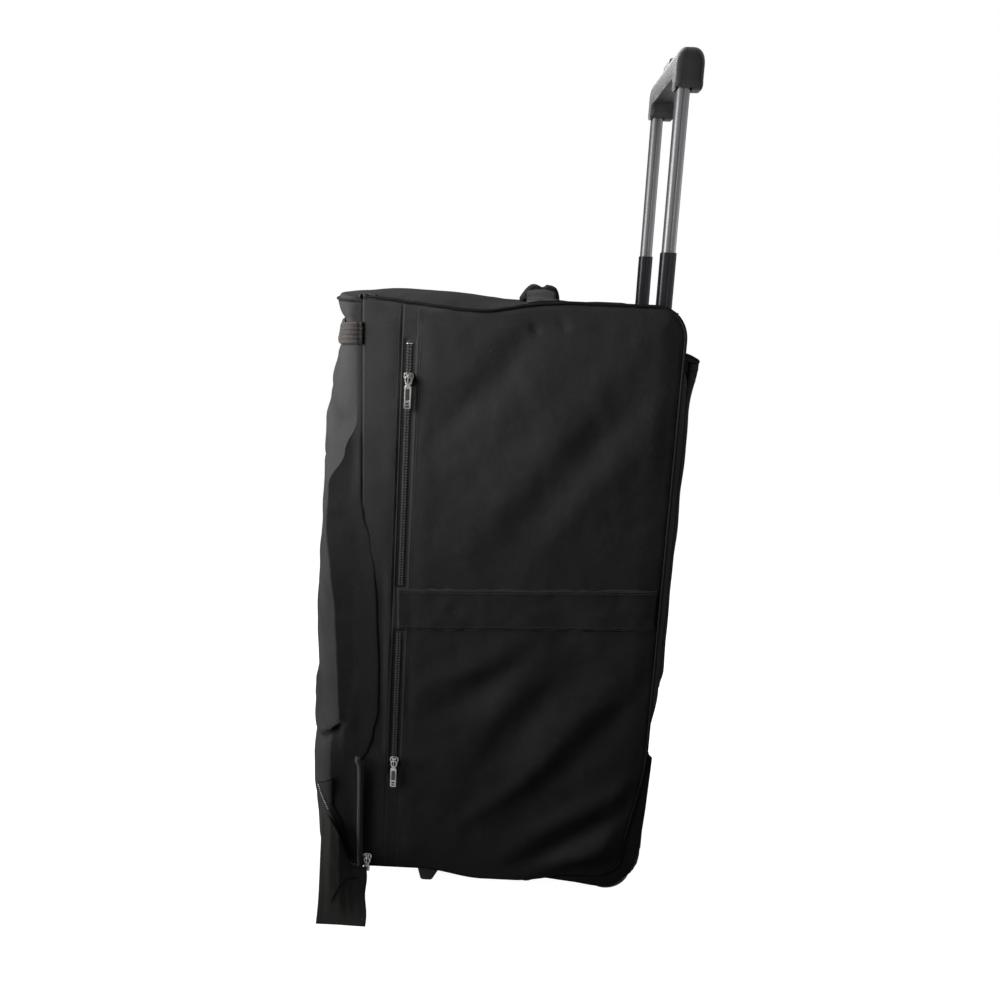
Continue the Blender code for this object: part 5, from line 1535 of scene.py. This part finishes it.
# zip tape painted far darker than the other tapes: painted shadow of the band across the lid's lower corner
shadowTape = ribbed("dark_tape", (0.014, 0.014, 0.015), 0.0012, light=0.6)
strapWebbing()
flapCloth(1)
flapCloth(-1)
zipEdge()
turnedCorner()
rolledWelt()
print("stage: webbing and flaps")


# back, sleeve and base

backShape = {"bulge": 0.0205, "narrow": 0.0952, "waist": 0.2283, "top": 0.7585, "foot": 0.0665,
    "rimGap": 0.0055, "belly": 0.003, "pole": 0.096, "poleLift": 0.0022, "ripple": 0.002, "thick": 0.004}


backWide = half - backShape["rimGap"]


def backLift(x, z):
    # the back swells over the trolley's poles
    waist, high = backShape["waist"], backShape["top"]
    rim = ease(waist - 0.02, waist + 0.07, z) * ease(high + 0.004, 0.715, z)
    lift = backShape["bulge"] * (1 - min(1.0, abs(x) / backWide) ** 5) * rim
    lift += backShape["belly"] * (1 - (x / backWide) ** 2)
    for pole in (-backShape["pole"], backShape["pole"]):
        lift += backShape["poleLift"] * math.exp(-((x - pole) / 0.012) ** 2) * rim
    return lift + backShape["ripple"] * grain(x * 0.7, 0.0, z, 11.0, 1.0) * rim


def stepped(low, high, cells, start=0):
    return [low + (high - low) * k / cells for k in range(start, cells + 1)]


def columns(narrow, wings, cells):
    # places across the back or base: a wing, the part between the wheels, and a wing
    return (stepped(-backWide, -narrow, wings) + stepped(-narrow, narrow, cells, 1)
            + stepped(narrow, backWide, wings, 1))


def backCloth():
    wings, cells, low, upper = 16, 50, 30, 110
    foot, waist, high = backShape["foot"], backShape["waist"], backShape["top"]
    xs = columns(backShape["narrow"], wings, cells)
    zs = stepped(foot, waist, low) + stepped(waist, high, upper, 1)
    rows = [[Vector((x, backY + backLift(x, z), z)) for x in xs] for z in zs]
    piece = skin("back_cloth", rows, bodyCloth, liningCloth, flip=True,
                 skip=lambda row, column: row < low and not wings <= column < wings + cells)
    tidyFacing(piece, Vector((0, 1, 0)))
    return rideAs(thickened(piece, backShape["thick"], lined=True), "back_panel")


sleeve = {"gap": 0.0007, "stand": 0.0034, "mouth": 0.085, "hemDown": 0.012, "lip": 0.003, "wave": 0.0016,
    "ripple": 0.0012, "thick": 0.002, "hem": 0.0018}


def sleeveCloth():
    low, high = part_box("back_sleeve")
    wide = high.x - 0.002
    rows = []
    for r in range(91):
        z = mix(low.z + 0.002, high.z - sleeve["hemDown"], r / 90)
        flare = ease(high.z - sleeve["mouth"], high.z - sleeve["hemDown"], z) ** 1.1
        row = []
        for x in (wide * (2 * c / 60 - 1) for c in range(61)):
            inside = ease(1.0, 0.9, abs(x) / wide)
            base = backLift(x, min(z, 0.7))
            out = sleeve["gap"] + sleeve["stand"] * inside * ease(low.z, low.z + 0.02, z)
            lip = (high.y + sleeve["lip"] - backY - base - out) * flare * ease(1.0, 0.55, abs(x) / wide) ** 0.4
            wave = sleeve["wave"] * flare * math.sin(x * 40.0 + 1.0)
            wave += sleeve["ripple"] * inside * grain(x, z, 0.0, 22.0, 2.0)
            row.append(Vector((x, backY + base + out + max(0.0, lip) + wave, z)))
        rows.append(row)
    piece = tidyFacing(skin("sleeve_cloth", rows, bodyCloth, liningCloth), Vector((0, 1, 0)))
    rideAs(thickened(piece, sleeve["thick"]), "back_sleeve")
    hem = rod("sleeve_hem", [p + Vector((0, -0.0008, 0.0)) for p in rows[-1]], sleeve["hem"], edgeCord, sides=8,
              up=Vector((0, 0, 1)))
    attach(hem, "root")
    seams = [[row[c] for row in rows] for c in (1, -2, 3, -4)] + [rows[r] for r in (2, -3, -6)]
    lines = [[(p + Vector((0, 0.0002, 0)), (0.0, 1.0, 0.0)) for p in seam] for seam in seams]
    stitched("sleeve_stitches", lines, "root")


baseShape = {"round": 0.03, "sag": 0.0022, "ripple": 0.001, "thick": 0.003, "flatRows": 60, "heelRows": 14,
    "roundRows": 10, "wings": 14, "cells": 40}


def baseCloth():
    front = seamY + 0.0006
    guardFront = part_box("wheel_guard_right")[0].y - 0.0004
    r, flat, heel, turns = [baseShape[key] for key in ("round", "flatRows", "heelRows", "roundRows")]
    path = [(mix(front, guardFront, k / flat), baseZ) for k in range(flat + 1)]
    path += [(mix(guardFront, backY - r, k / heel), baseZ) for k in range(1, heel)]
    path += [(backY - r + r * math.sin(turn), baseZ + r - r * math.cos(turn))
             for turn in (math.pi / 2 * k / turns for k in range(turns + 1))]
    path.append((backY, baseZ + r + 0.0018))
    wings, cells = baseShape["wings"], baseShape["cells"]
    xs = columns(backShape["narrow"], wings, cells)
    rows = []
    for k, (y, z) in enumerate(path):
        sag = baseShape["sag"] if k <= flat else baseShape["sag"] * ease(20, 0, k - flat)
        held = ease(0, 8, k)
        rows.append([Vector((x, y, z - baseSag(y) - sag * (1 - (x / backWide) ** 4) * held
                             - baseShape["ripple"] * grain(x, y, 0, 20.0) * held * ease(84, 70, k)))
                     for x in xs])
    piece = skin("base_cloth", rows, baseCoated, liningCloth,
                 skip=lambda row, column: row >= flat and not wings <= column < wings + cells)
    tidyFacing(piece, Vector((0, 0, -1)))
    return rideAs(thickened(piece, baseShape["thick"], lined=True), "base_panel")


baseCoated = cloth("base_coated", (0.02, 0.02, 0.021), pitch=0.0012, rough=0.55, depth=0.0002, sheen=0.05,
                   specular=0.08)
backCloth()
sleeveCloth()
baseCloth()
print("stage: back and base")


# grab handle on the top

handle = {"strapThick": 0.0022, "curl": 0.003, "wrapUp": 0.0155, "bulge": 0.03, "ends": 0.18, "tackIn": 0.003,
    "tackUp": 0.0036, "tackStep": 0.0034, "tackX": (0.03, 0.012), "wrap": [(-0.0275, -0.0125), (-0.0228,
    -0.003), (-0.0155, 0.0052), (-0.0105, 0.0076), (-0.0045, 0.007), (0.0018, 0.0042), (0.0056, 0.0046),
    (0.01, 0.0074), (0.0185, 0.005), (0.0228, -0.0012), (0.0242, -0.0115), (0.015, -0.0122), (0.0, -0.011),
    (-0.015, -0.0124)]}


def grabHandle():
    low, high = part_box("grab_handle_webbing")
    wrapLow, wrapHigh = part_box("grab_handle_wrap")
    middle = (low.y + high.y) / 2
    wide = (high.y - low.y) / 2
    right = [(half - 0.006, 0.003), (high.x - 0.006, 0.0036), (high.x - 0.02, 0.006),
             (wrapHigh.x + 0.01, 0.015), (wrapHigh.x - 0.006, 0.018)]
    left = [(-x, up) for x, up in reversed(right)]
    path = rounded([(x, middle, topZ + up) for x, up in right + [(0, 0.0185)] + left], 10)
    rows = []
    for p in path:
        row = []
        for t in (2 * j / 12 - 1 for j in range(13)):
            y = middle + t * wide
            lie = crownLift(p.x, y) if abs(p.x) > 0.07 else 0.0
            row.append(Vector((p.x, y, p.z + lie - handle["curl"] * t * t * ease(0.085, 0.06, abs(p.x)))))
        rows.append(row)
    strip = tidyFacing(turnUv(skin("handle_webbing", rows, handleWeb)), Vector((0, 0, 1)))
    rideAs(thickened(strip, handle["strapThick"]), "grab_handle_webbing")
    outline = rounded([(y, z, 0) for y, z in handle["wrap"]], 5, closed=True)
    rows = []
    for share in (k / 40 for k in range(41)):
        x = mix(wrapLow.x, wrapHigh.x, share)
        ends = 1.0 - handle["ends"] * ease(0.86, 1.0, abs(2 * share - 1)) ** 2
        rows.append([Vector((x, middle + p.x * ends * (1 + handle["bulge"] * grain(x, p.x, 0, 50.0)),
                             topZ + handle["wrapUp"] + p.y * ends + 0.0006 * grain(x, p.x, p.y, 90.0)))
                     for p in outline])
    wrap = capped(skin("handle_wrap", rows, handleCloth, wrap=True))
    rideAs(wrap, "grab_handle_wrap")
    wrap.data.set_sharp_from_angle(angle=math.radians(55))
    near, far = middle - wide + handle["tackIn"], middle + wide - handle["tackIn"]
    for sign in (1, -1):
        inner, outer = [sign * (half - x) for x in handle["tackX"]]
        box = [(inner, near), (outer, near), (outer, far), (inner, far), (inner, near), (outer, far)]
        line = [(mix(ax, bx, k / 8), mix(ay, by, k / 8)) for (ax, ay), (bx, by) in zip(box, box[1:])
                for k in range(8)]
        line = [(Vector((x, y, topZ + handle["tackUp"] + crownLift(x, y))), (0.0, 0.0, 1.0)) for x, y in line]
        stitched(f"handle_tack_{sideName(sign)}", [line], "root", handle["tackStep"])


handleWeb = ribbed("handle_webbing_paint", (0.016, 0.0165, 0.017), 0.0016, light=0.65)
grabHandle()
print("stage: handle")


# trolley

tube = {"wall": 0.0009, "corner": 0.0052, "slot": 0.0011, "deep": 0.0007, "edge": 0.0003, "lip": 0.0002,
    "slope": 0.0005}


def tubeOutline(middle, a, b, inset):
    # rounded rectangle with a groove down each narrow side
    r, fine, slot, deep = tube["corner"] - inset, tube["edge"], tube["slot"], tube["deep"]
    u, v = a - inset, b - inset
    bed = slot - tube["slope"]
    line = cornered([(-u, -v, r), (u, -v, r), (u, -slot, fine), (u - deep, -bed, fine), (u - deep, bed, fine),
                     (u, slot, fine), (u, v, r), (-u, v, r), (-u, slot, fine), (deep - u, bed, fine),
                     (deep - u, -bed, fine), (-u, -slot, fine)], 6)
    return [Vector((p.x + middle.x, p.y + middle.y, 0)) for p in line]


def poleTube(node):
    low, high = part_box(node)
    wall, fine, lip = tube["wall"], tube["edge"], tube["lip"]
    stations = [(fine, low.z), (0.0, low.z + fine), (0.0, high.z - fine), (fine, high.z), (wall - lip, high.z),
                (wall, high.z - fine), (wall, low.z + fine), (wall - lip, low.z), (fine, low.z)]
    rows = [[Vector((p.x, p.y, z)) for p in
             tubeOutline((low + high) / 2, (high.x - low.x) / 2, (high.y - low.y) / 2, inset)]
            for inset, z in stations]
    piece = tidied(skin(node + "_metal", rows, tubeMetal if "inner" in node else darkTube, wrap=True))
    return rideAs(smoothed(piece, 40), node)


gripShape = {"edge": 0.0075, "dome": 0.0125, "rim": 0.003, "ahead": 0.0056, "behind": 0.0046, "below": 0.004,
    "bar": 0.03, "steps": 8, "radii": (0.008, 0.01, 0.02, 0.02, 0.01, 0.008, 0.009, 0.009), "seam": 0.00015,
    "slotWide": 0.24, "slotGap": 0.0006, "slotDeep": 0.0125, "tube": 0.0103, "tubeGap": 0.0003,
    "socket": 0.0117, "socketGap": 0.0004}


def gripOutline(low, high, armInner):
    # the handle's U, with its bar between the two arms
    foot = low.z - gripShape["below"]
    under = high.z - gripShape["bar"]
    outer = high.x
    places = ((armInner, foot), (outer, foot), (outer, high.z), (-outer, high.z), (-outer, foot),
              (-armInner, foot), (-armInner, under), (armInner, under))
    return cornered([(a, b, radius) for (a, b), radius in zip(places, gripShape["radii"])], 8)


def gripShell(node, way):
    low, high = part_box(node)
    fullLow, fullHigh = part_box("grip_front_shell")[0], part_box("grip_back_shell")[1]
    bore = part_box("inner_tube_right")
    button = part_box("release_button")
    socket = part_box("middle_tube_right")
    armMiddle = (bore[0].x + bore[1].x) / 2
    line = gripOutline(low, high, armMiddle - (high.x - armMiddle))
    ways = []
    for k in range(len(line)):
        along = line[(k + 1) % len(line)] - line[k - 1]
        ways.append(Vector((along.y, -along.x)).normalized())  # outward, as the outline runs counter-clockwise
    front, back = fullLow.y + gripShape["ahead"], fullHigh.y + gripShape["behind"]
    steps = gripShape["steps"]
    stations = [(math.pi / 2 * (1 - step / steps), front, 1) for step in range(steps + 1)]
    stations += [(math.pi / 2 * step / steps, back, -1) for step in range(steps + 1)]
    rows = []
    for turn, face, inward in stations:
        row = []
        for p, out in zip(line, ways):
            r = mix(gripShape["edge"], gripShape["dome"] if out.y > 0 else gripShape["rim"], abs(out.y))
            inset, deep = r * (1 - math.cos(turn)), r * (1 - math.sin(turn))
            row.append(Vector((p.x - out.x * inset, face + inward * deep, p.y - out.y * inset)))
        rows.append(row)
    shell = capped(skin(node + "_moulding", rows, gripPlastic, wrap=True))
    split = (fullLow.y + fullHigh.y) / 2 + way * gripShape["seam"]
    ahead = split - 0.1 if way > 0 else split
    slotX, gap = -button[0].x * gripShape["slotWide"] + gripShape["slotGap"], gripShape["slotGap"]
    cutters = [boxMesh((-0.2, ahead, low.z - 0.02), (0.2, ahead + 0.1, high.z + 0.02)),
               boxMesh((-slotX, button[0].y - gap, high.z - gripShape["slotDeep"]),
                       (slotX, button[1].y + gap, high.z + 0.02))]
    for sign in (1, -1):
        for box, wide, gap, foot, top in (
                (bore, gripShape["tube"], gripShape["tubeGap"], low.z - 0.01, bore[1].z + 0.0003),
                (socket, gripShape["socket"], gripShape["socketGap"], low.z - 0.012, low.z + 0.0004)):
            cutters.append(boxMesh((sign * armMiddle - wide, box[0].y - gap, foot),
                                   (sign * armMiddle + wide, box[1].y + gap, top)))
    cutFrom(shell, *cutters)
    shell.data.materials.clear()
    shell.data.materials.append(gripPlastic)
    return rideAs(smoothed(shell, 40), node)


buttonShape = {"reach": 0.024, "radius": 0.0045, "edge": 0.0016, "deep": 0.0075, "gap": 0.0002,
    "down": 0.0004, "rib": (0.01, 0.0016, 0.0009), "ribStep": 0.0055}


def releaseButton():
    low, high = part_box("release_button")
    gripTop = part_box("grip_back_shell")[1].z
    reach, gap, top = buttonShape["reach"], buttonShape["gap"], high.z - buttonShape["down"]
    outline = block(-reach, low.y + gap, reach, high.y - gap, buttonShape["radius"], 6)
    cap = pillow("release_button_cap", outline, gripTop - buttonShape["deep"], top, buttonShape["edge"],
                 buttonPlastic)
    ribs = []
    for k in range(5):
        rib = bead(f"button_rib_{k}", *buttonShape["rib"], buttonPlastic)
        rib.data.transform(Matrix.Translation(((k - 2) * buttonShape["ribStep"], (low.y + high.y) / 2, top))
                           @ Matrix.Rotation(math.pi / 2, 4, "Z"))
        ribs.append(rib)
    return rideAs(joined(cap, *ribs), "release_button")


for size in ("outer", "middle", "inner"):
    for label in ("right", "left"):
        poleTube(f"{size}_tube_{label}")
gripShell("grip_back_shell", 1)
gripShell("grip_front_shell", -1)
releaseButton()
refined("trolley_bezel", trimPlastic, 0.0012, 3)
print("stage: trolley")


# wheels, guards and feet

tyre = [(1, 0.0075), (0.92, 0.0042), (0.74, 0.0018), (0.5, 0.0006), (0.3, 0.0002), (0.27, 0.0012),
        (0.22, 0.0012), (0.19, 0.0001)]  # half width, and how far inside the outer radius


def tyreProfile(w, r, rim):
    left = [(-w, rim + 0.001)] + [(-w * share, r - down) for share, down in tyre]
    right = [(w * share, r - down) for share, down in reversed(tyre)] + [(w, rim + 0.001)]
    return left + right + [(w * 0.9, rim + 0.0003), (-w * 0.9, rim + 0.0003)]


def twoFaced(wide, face):
    # profile with the same face on both ends, its points (how deep, radius)
    left = [(deep - wide, radius) for deep, radius in face]
    return left + [(wide - deep, radius) for deep, radius in reversed(face)]


def hubProfile(h, bore, rim):
    # each half runs from the bearing's seat over the dished face to the rim
    face = [(0.0, bore), (0.0, bore + 0.0022), (0.003, bore + 0.003), (0.0034, rim - 0.0046),
            (0.0006, rim - 0.0036), (0.0002, rim - 0.0012), (0.0016, rim)]
    seat = h - 0.007
    return twoFaced(h, face) + [(seat, bore), (seat, bore - 0.0022), (-seat, bore - 0.0022), (-seat, bore)]


def bearingProfile(b, inner, outer):
    return twoFaced(b, [(0.0, inner), (0.0, inner + 0.002), (0.0004, inner + 0.0022),
                        (0.0006, outer - 0.0024), (0.0, outer - 0.002), (0.0, outer - 0.0003),
                        (0.0003, outer)])


spoke = {"count": 5, "wide": 0.004, "tall": 0.0046, "short": 0.004, "sink": 0.0034}


def halves(node):
    # centre, half width and outer radius of a round part
    low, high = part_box(node)
    return (low + high) / 2, (high.x - low.x) / 2, (high.z - low.z) / 2


def wheel(label):
    centre, w, r = halves(f"wheel_tyre_{label}")
    h, rim = halves(f"wheel_hub_{label}")[1:]
    tread = turned(f"tyre_{label}", tyreProfile(w, r, rim), "x", centre, tyreRubber, sides=96)
    rideAs(tread, f"wheel_tyre_{label}")
    bore = halves(f"outer_bearing_{label}")[2] + 0.0003
    hub = turned(f"hub_{label}", hubProfile(h, bore, rim), "x", centre, hubPlastic, sides=72)
    spokes = []
    for k in range(2 * spoke["count"]):
        face = 1 if k < spoke["count"] else -1
        bar = bead(f"spoke_{label}_{k}", rim - bore - spoke["short"], spoke["wide"], spoke["tall"], hubPlastic)
        bar.data.transform(Matrix.Translation(centre + Vector((face * (h - spoke["sink"]), 0, 0)))
                           @ Matrix.Rotation(2 * math.pi * k / spoke["count"], 4, "X")
                           @ Matrix.Translation((0, 0, (bore + rim) / 2))
                           @ Matrix.Rotation(math.pi / 2, 4, "Y"))
        spokes.append(bar)
    rideAs(joined(hub, *spokes), f"wheel_hub_{label}")
    for place in ("outer", "inner"):
        spot, b, outer = halves(f"{place}_bearing_{label}")
        profile = bearingProfile(b, 0.0044, outer)
        ring = turned(f"bearing_{place}_{label}", profile, "x", spot, rodSteel, sides=48)
        rideAs(ring, f"{place}_bearing_{label}")


cheek = {"x": 0.1733, "thick": 0.0024, "bevel": 0.0006, "outline": [(0.118, 0.226), (0.211, 0.2275), (0.2155,
    0.2295), (0.2212, 0.2238), (0.221, 0.2118), (0.2199, 0.1781), (0.2188, 0.1425), (0.2166, 0.103), (0.2138,
    0.0709), (0.21, 0.056), (0.2046, 0.044), (0.1946, 0.0315), (0.1829, 0.0218), (0.175, 0.0195), (0.1662,
    0.019), (0.1521, 0.0204), (0.1308, 0.0239), (0.1097, 0.0262), (0.085, 0.029), (0.085, 0.04), (0.118,
    0.06)]}


# painted lighter than the body cloth, to lift the shade that falls on the cheek behind the side's heel
litCheekCloth = cloth("cheek_cloth", (0.052, 0.053, 0.055), sheen=0.0, specular=0.0)


def wheelCheek(sign):
    # cloth-faced outer side of the wheel box, behind the heel of the side
    upright = Matrix(((0, 0, 1, 0), (1, 0, 0, 0), (0, 1, 0, 0), (0, 0, 0, 1)))
    piece = plate(f"wheel_cheek_{sideName(sign)}", [cheek["outline"]], cheek["thick"], cheek["bevel"],
                  Matrix.Translation((sign * cheek["x"], 0, 0)) @ upright, litCheekCloth)
    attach(piece, "root")


for label in ("right", "left"):
    wheelCheek(1 if label == "right" else -1)
    wheel(label)
    refined(f"wheel_guard_{label}", trimPlastic, 0.0009, 2)
    refined(f"front_foot_{label}", trimPlastic, 0.0016, 3)
    refined(f"glide_stud_{label}", hubPlastic, 0.0008, 3)
for node, paint in (("wheel_axle_right", rodSteel), ("wheel_axle_left", rodSteel), ("push_rod_right", rodSteel),
                    ("push_rod_left", rodSteel), ("back_board", boardPlastic), ("base_board", boardPlastic),
                    ("tube_bracket", trimPlastic)):
    mesh = frame["nodes"][node].data
    mesh.materials.clear()
    mesh.materials.append(paint)
print("stage: wheels and feet")


# camera, floor and light

def lookAt(thing, spot):
    thing.rotation_euler = (Vector(spot) - thing.location).to_track_quat("-Z", "Y").to_euler()


def camera():
    data = bpy.data.cameras.new("camera")
    data.lens = view["lens"]
    data.sensor_width = 36.0
    data.clip_start = 0.02
    made = bpy.data.objects.new("camera", data)
    bpy.context.scene.collection.objects.link(made)
    yaw, pitch, roll = view["yaw"], view["pitch"], view["roll"]
    ahead = Vector((-math.cos(yaw) * math.cos(pitch), -math.sin(yaw) * math.cos(pitch), -math.sin(pitch)))
    right = Vector((-math.sin(yaw), math.cos(yaw), 0.0))
    up = right.cross(ahead)
    across = right * math.cos(roll) + up * math.sin(roll)
    above = up * math.cos(roll) - right * math.sin(roll)
    turn = Matrix((across, above, -ahead)).transposed()
    made.matrix_world = Matrix.Translation(view["place"]) @ turn.to_4x4()
    bpy.context.scene.camera = made


def clearRay(tree):
    # 1 for rays that see the backdrop: straight, in gloss, or through glass
    path = put(tree, "ShaderNodeLightPath").outputs
    straight = calc(tree, "MAXIMUM", path["Is Camera Ray"], path["Is Glossy Ray"])
    return calc(tree, "MAXIMUM", straight, path["Is Transmission Ray"])


def mixed(tree, seen, hidden, shown):
    # the hidden colour for rays that light the bag, the shown one for rays that see the backdrop
    mixer = put(tree, "ShaderNodeMix", seen, data_type="RGBA")
    mixer.inputs[6].default_value = (*hidden, 1.0)
    mixer.inputs[7].default_value = (*shown, 1.0)
    return mixer.outputs[2]


def floor():
    mesh = bpy.data.meshes.new("floor")
    mesh.from_pydata([(-30, -30, 0), (30, -30, 0), (30, 30, 0), (-30, 30, 0)], [], [(0, 1, 2, 3)])
    made, tree, shader = material("floor_paint")
    seen = clearRay(tree)
    feed(tree, shader, {"Base Color": mixed(tree, seen, (0.1, 0.1, 0.1), (0.4, 0.4, 0.4)),
                        "Roughness": 0.9, "Specular IOR Level": 0.0, "Emission Color": (1.0, 1.0, 1.0, 1.0),
                        "Emission Strength": calc(tree, "MULTIPLY", seen, 0.975)})
    linked("floor", mesh, made)


def light(name, place, spot, size, power, colour, spread=180.0):
    data = bpy.data.lights.new(name, "AREA")
    data.shape = "DISK"
    data.size = size
    data.energy = power
    data.color = colour
    data.spread = math.radians(spread)
    made = bpy.data.objects.new(name, data)
    made.location = place
    bpy.context.scene.collection.objects.link(made)
    lookAt(made, spot)


def world():
    made = bpy.data.worlds.new("world")
    bpy.context.scene.world = made
    made.use_nodes = True
    tree = made.node_tree
    colour = mixed(tree, clearRay(tree), (0.07, 0.073, 0.08), (1.0, 1.0, 1.0))
    tree.links.new(colour, tree.nodes["Background"].inputs["Color"])


camera()
floor()
world()
light("key", (0.38, -0.6, 0.97), (0.175, -0.12, 0.8), 0.4, 3.7, (1.0, 0.97, 0.94), 104.0)
light("above", (-0.45, -0.1, 1.45), (0.0, 0.0, 0.8), 0.6, 8.5, (1.0, 0.98, 0.96))
light("front", (0.34, -1.05, 0.34), (0.15, -0.2, 0.25), 0.6, 8.0, (1.0, 0.97, 0.94))
light("far side", (-1.3, -0.3, 0.8), (-0.17, 0.0, 0.45), 0.6, 4.4, (1.0, 0.98, 0.96))
light("behind", (0.1, 1.3, 0.9), (0.0, 0.2, 0.5), 0.6, 4.4, (1.0, 0.98, 0.96))
bpy.context.scene.view_settings.view_transform = "Standard"

for stamp in (stitchStamp, toothStamp, *coilStamps.values()):
    bpy.data.objects.remove(stamp)
print("stage: finished")
